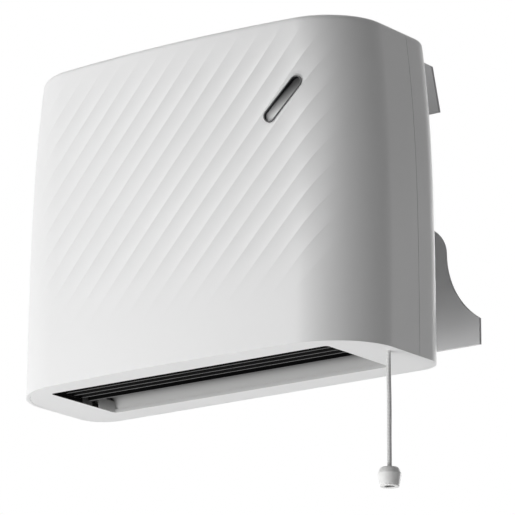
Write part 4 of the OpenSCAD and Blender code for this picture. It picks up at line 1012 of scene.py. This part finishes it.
class HEATER_OT_rear_cover(Operator):
    """Add the rear cover with its intake slots, pillars, lugs and holes"""

    bl_idname = "heater.rear_cover"
    bl_label = "Rear Cover"

    ARM_X, ARM_T, GAP = 0.075, 0.0025, 0.0002  # the wall plate's arms, and the gap round them
    HOOK_LOW, HOOK_HIGH = 0.172, 0.198  # heights of the slots for the hooks
    LUG = (0.008, 0.015, 0.014)  # width, depth and height
    LUG_END, LUG_EDGE = 0.001, 0.0004  # what the bore leaves of a lug, and the radius of its edges
    LOCK_Z, LOCK_IN = 0.062, 0.008  # height of a lug's bore, and its distance behind the casing
    CABLE = (-0.020, 0.213, 0.007)  # place and radius of the cable's hole
    BASE_SCREW = (0.060, 0.009)  # place of a hole for the base panel's screws

    def execute(self, context):
        shell = casing_wall("rear_shell", RearPath())
        cut(shell, self.cutters())
        round_edges(shell, CASING_EDGE)
        fittings = [self.pillar(x, z) for x, z in screw_places()] + [self.lug(side) for side in (-1, 1)]
        shell = joined("rear_shell_slotted", fittings + [shell])
        smooth(shell, CASING_SMOOTH)
        modify(shell, "WEIGHTED_NORMAL", keep_sharp=True)
        finish(shell, "casing_white", replaces=("rear_cover",))
        return {"FINISHED"}

    def cutters(self):
        """All slots and holes of the back as one object."""
        c, rear = settings("casing"), settings("rear")
        outer, inner = -c.stand_off + c.wall, -c.stand_off - 2 * c.wall
        deep = outer - inner
        parts = []
        for side in (-1, 1):
            lows = [rear.slot_low + k * rear.slot_pitch for k in range(rear.slot_rows)]
            near = rear.slot_strip / 2
            spans = [(near, near + rear.slot_length, low, low + rear.slot_height) for low in lows]
            spans.append((self.ARM_X - self.GAP, self.ARM_X + self.ARM_T + self.GAP, self.HOOK_LOW, self.HOOK_HIGH))
            for near, far, low, high in spans:
                xs = sorted((side * near, side * far))
                parts.append(box_at("slot", (xs[0], inner, BASE_Z + low), (xs[1], outer, BASE_Z + high)))
            parts.append(rod("hole", PASSING_R, deep, along_y(side * self.BASE_SCREW[0], inner, self.BASE_SCREW[1])))
        parts += [rod("hole", PASSING_R, deep, along_y(x, inner, z)) for x, z in screw_places()]
        parts.append(rod("hole", self.CABLE[2], deep, along_y(self.CABLE[0], inner, self.CABLE[1]), 48))
        return joined("rear cutters", parts)

    def pillar(self, x, z):
        """A tube inside the back that a cover screw passes through."""
        c = settings("casing")
        start = seam_line() - BOSS_GAP + self.GAP
        reach, hole = -c.stand_off - c.wall / 2 - start, PASSING_R
        profile = [(hole + HOLE_RIM, 0), (BOSS_R - RIM, 0), (BOSS_R, RIM), (BOSS_R, reach), (hole, reach),
                   (hole, HOLE_RIM)]
        return turned("pillar", profile, along_y(x, start, z), 32)

    def lug(self, side):
        """A block behind the casing, beside the plate's arm, that a locking screw cuts into."""
        c = settings("casing")
        near = self.ARM_X + self.ARM_T + self.GAP
        xs = sorted((side * near, side * (near + self.LUG[0])))
        low = (xs[0], -c.stand_off - c.wall / 2, BASE_Z + self.LOCK_Z - self.LUG[2] / 2)
        block = box_at("lug", low, (xs[1], -c.stand_off + self.LUG[1], low[2] + self.LUG[2]))
        reach = self.ARM_T + self.LUG[0] - self.LUG_END
        start = self.ARM_X if side > 0 else -self.ARM_X - reach
        cut(block, rod("bore", PILOT_R, reach, along_x(start, -c.stand_off + self.LOCK_IN, self.LOCK_Z)))
        return round_edges(block, self.LUG_EDGE)


class HEATER_OT_base(Operator):
    """Add the base panel, the louvre and the air deflector"""

    bl_idname = "heater.base"
    bl_label = "Base and Outlet"

    POST = ((-0.121, -0.1040, 0.0003), (-0.1205, -0.0930, 0.0072))  # corners, with heights above the underside
    HALF, LIP = 0.121, 0.0004  # half the width of the outlet, and the thickness of a lip
    LIP_DEPTHS, LIP_HEIGHTS = (0.022, 0.0025), (0.0002, 0.0083)  # from the deflector's back and the underside
    LINED = 0.010  # how far behind the louvre the edges of the outlet are still black

    def execute(self, context):
        panel = dressed("base_panel", "base_panel_moulded", "casing_white", 0.0002)
        louvre = dressed("outlet_louvre", "outlet_louvre_moulded", "louvre_black", 0.0002)
        dressed("air_deflector", "air_deflector_moulded", "deflector_white", 0.0002)
        self.line_outlet(panel)
        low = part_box("outlet_louvre")[0].z
        # The slats' undersides get a paler grey copy of the black: painted highlight where light from below catches
        # them.
        repaint(louvre, "louvre_edge", lambda face: face.normal.z < -0.7 and face.center.z < low + 0.001)
        self.add_lips()
        raise_up = Vector((0, 0, BASE_Z))
        post = soften(box_at("louvre_post", *[Vector(corner) + raise_up for corner in self.POST]), 0.0002)
        finish(post, "louvre_black", material=look("louvre_post"))
        return {"FINISHED"}

    def line_outlet(self, panel):
        """Gives the edges of the outlet the colour of what stands behind them."""
        louvre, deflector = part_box("outlet_louvre"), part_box("air_deflector")

        def in_outlet(face):
            x, y, _ = face.center
            return abs(x) < louvre[1].x and louvre[0].y < y < deflector[1].y and abs(face.normal.z) < 0.5

        repaint(panel, "louvre_black", in_outlet)
        repaint(panel, "deflector_white", lambda face: in_outlet(face) and face.center.y >= louvre[1].y + self.LINED)

    def add_lips(self):
        """Carries the deflector's closed ends down to the underside of the base."""
        back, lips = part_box("air_deflector")[1].y, []
        (front, rear), (low, high) = self.LIP_DEPTHS, self.LIP_HEIGHTS
        for side in (-1, 1):
            xs = sorted((side * self.HALF, side * (self.HALF - self.LIP)))
            lips.append(box_at("lip", (xs[0], back - front, BASE_Z + low), (xs[1], back - rear, BASE_Z + high)))
        finish(joined("deflector_lips", lips), "deflector_white")


class HEATER_OT_window(Operator):
    """Add the indicator window: rim, lens with painted shadow, board and lamps"""

    bl_idname = "heater.window"
    bl_label = "Indicator Window"

    def execute(self, context):
        dressed("window_bezel", "window_rim", "bezel_dark", 0.0002)
        dressed("window_lens", "window_lens_smoked", "lens_smoke", 0.0003, 3)
        dressed("indicator_board", "indicator_board_printed", "board_green", 0.0001)
        dressed("indicator_lamps", "indicator_lamps_domed", "lamp_amber", 0)
        return {"FINISHED"}


class HEATER_OT_wall_plate(Operator):
    """Add the wall plate, the screws and the grommet"""

    bl_idname = "heater.wall_plate"
    bl_label = "Wall Plate"

    def execute(self, context):
        dressed("wall_plate", "wall_plate_coated", "plate_grey", 0.0004)
        dressed("cover_screws", "cover_screws_plated", "zinc_steel", 0.0001)
        dressed("locking_screws", "locking_screws_plated", "zinc_steel", 0.0001)
        dressed("cable_grommet", "cable_grommet_rubber", "rubber_black", 0.0003)
        return {"FINISHED"}


# What lies inside the casing keeps its CAD form: the nodes of each finish
INNER = {
    "sheet_steel": ("fan_scroll", "fan_tongue", "fan_end_plate_left", "fan_end_plate_right"),
    "fan_alloy": ("fan_impeller",),
    "zinc_steel": ("fan_shaft", "fan_journal", "motor_screws", "lever_pin"),
    "bush_bronze": ("journal_bush", "motor_bushes"),
    "rubber_black": ("journal_grommet",),
    "stack_steel": ("motor_stack", "motor_rotor"),
    "winding_copper": ("motor_coil",),
    "bracket_alloy": ("motor_bracket_front", "motor_bracket_rear"),
    "mica_board": ("element_frame",),
    "ribbon_alloy": ("element_ribbons",),
    "ceramic_pale": ("thermal_cutout", "thermal_fuse"),
    "nylon_white": ("terminal_block", "cable_clamp", "switch_housing", "switch_cover", "switch_lever", "cord_plunger",
                    "inner_cord", "top_knot"),
    "screw_brass": ("terminal_screws",),
    "casing_white": ("cord_bush",),
}


class HEATER_OT_inside(Operator):
    """Give the fan, motor, element and switch their finishes"""

    bl_idname = "heater.inside"
    bl_label = "Inside"

    SPRING_FOOT, PULL = -0.116, 0.010  # height of the spring's fixed end, and the cord's travel

    def execute(self, context):
        for key, nodes in INNER.items():
            for node in nodes:
                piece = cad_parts[node]
                piece.data.materials.clear()
                piece.data.materials.append(look(key))
        self.add_spring()
        return {"FINISHED"}

    def add_spring(self):
        """The return spring, smooth shaded, with a mesh of its own."""
        spring = dressed("switch_spring", "return_spring", "zinc_steel", 0)
        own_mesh(spring)


# ---- Stage ----


def aimed_light(name, place, size, energy, at):
    """A square area light that faces a point."""
    select_only()
    bpy.ops.object.light_add(type="AREA", location=place)
    lamp = added(name)
    lamp.rotation_euler = (Vector(at) - Vector(place)).to_track_quat("-Z", "Y").to_euler()
    lamp.data.shape = "SQUARE"
    lamp.data.size = size
    lamp.data.energy = energy
    return lamp


class HEATER_OT_stage(Operator):
    """Add the floor, the soft lights and the white surroundings"""

    bl_idname = "heater.stage"
    bl_label = "Stage"

    FLOOR = -1.6  # height
    # Name, angle to the right and elevation, distance, size and energy
    LAMPS = (("Key low", -40, 20, 3.2, 2.4, 24), ("Key high", -65, 45, 3.2, 2.4, 34.4),
             ("Back", -180, 0, 2.4, 1.6, 17.3), ("Rear corner", 160, 0, 2.4, 1.6, 4),
             ("Under", -30, -55, 1.7, 1.2, 22.8), ("Front low", 0, -40, 2.2, 1.0, 9.6))

    def execute(self, context):
        middle = casing_middle()
        for name, azimuth, elevation, distance, size, energy in self.LAMPS:
            way = way_out(math.radians(azimuth), math.radians(elevation))
            aimed_light(name, middle + way * distance, size, energy, middle)
        self.floor()
        self.surroundings(context)
        return {"FINISHED"}

    def floor(self):
        """A pale floor that looks paler than it is lit, and keeps its shadow."""
        select_only()
        bpy.ops.mesh.primitive_plane_add(size=40, location=(0, 0, self.FLOOR))
        floor = place_mesh(added("floor"))
        material = look("floor")
        tree = material.node_tree
        out, shader = (next(n for n in tree.nodes if n.bl_idname == kind)
                       for kind in ("ShaderNodeOutputMaterial", "ShaderNodeBsdfPrincipled"))
        seen = add_node(tree, "LightPath").outputs["Is Camera Ray"]
        glow = add_node(tree, "Math", {0: seen, 1: settings("stage").floor_glow}, operation="MULTIPLY")
        light = add_node(tree, "Emission", {"Strength": glow.outputs["Value"]})
        both = add_node(tree, "AddShader", {0: shader.outputs["BSDF"], 1: light.outputs["Emission"]})
        tree.links.new(both.outputs["Shader"], out.inputs["Surface"])
        floor.data.materials.append(material)

    def surroundings(self, context):
        """White to the eye and in reflections, and a soft fill on everything else."""
        world = bpy.data.worlds.new("Surroundings")
        context.scene.world = world
        tree = cleared(world)
        ray = add_node(tree, "LightPath").outputs
        seen = ray["Is Camera Ray"]
        for kind in ("Is Glossy Ray", "Is Transmission Ray"):
            seen = add_node(tree, "Math", {0: seen, 1: ray[kind]}, operation="MAXIMUM").outputs["Value"]
        strength = add_node(tree, "MapRange", {"Value": seen, "To Min": settings("stage").fill, "To Max": 1})
        light = add_node(tree, "Background", {"Color": (1, 1, 1, 1), "Strength": strength.outputs["Result"]})
        add_node(tree, "OutputWorld", {"Surface": light.outputs["Background"]})
        context.scene.view_settings.view_transform = "Standard"


# ---- Panel and registration ----

STEPS = (HEATER_OT_camera, HEATER_OT_pull_cord, HEATER_OT_front_cover, HEATER_OT_rear_cover, HEATER_OT_base,
         HEATER_OT_window, HEATER_OT_wall_plate, HEATER_OT_inside, HEATER_OT_stage)


class HEATER_PT_panel(Panel):
    """Sizes, colours and steps of the fan heater"""

    bl_idname = "HEATER_PT_panel"
    bl_label = "Fan Heater"
    bl_space_type = "VIEW_3D"
    bl_region_type = "UI"
    bl_category = "Fan Heater"

    def draw(self, context):
        for group in GROUPS:
            box = self.layout.box()
            values = getattr(context.scene, group)
            for key in values.bl_rna.properties.keys():
                if key not in ("rna_type", "name"):
                    box.prop(values, key)
        for step in STEPS:
            self.layout.operator(step.bl_idname)


def register():
    for kind in (*GROUPS.values(), *STEPS, HEATER_PT_panel):
        bpy.utils.register_class(kind)
    for name, kind in GROUPS.items():
        setattr(bpy.types.Scene, name, PointerProperty(type=kind))


def unregister():
    for name in GROUPS:
        delattr(bpy.types.Scene, name)
    for kind in reversed((*GROUPS.values(), *STEPS, HEATER_PT_panel)):
        bpy.utils.unregister_class(kind)


def main():
    """Builds everything in order."""
    register()
    for step in STEPS:
        group, name = step.bl_idname.split(".")
        getattr(getattr(bpy.ops, group), name)()


if __name__ == "__main__":
    main()
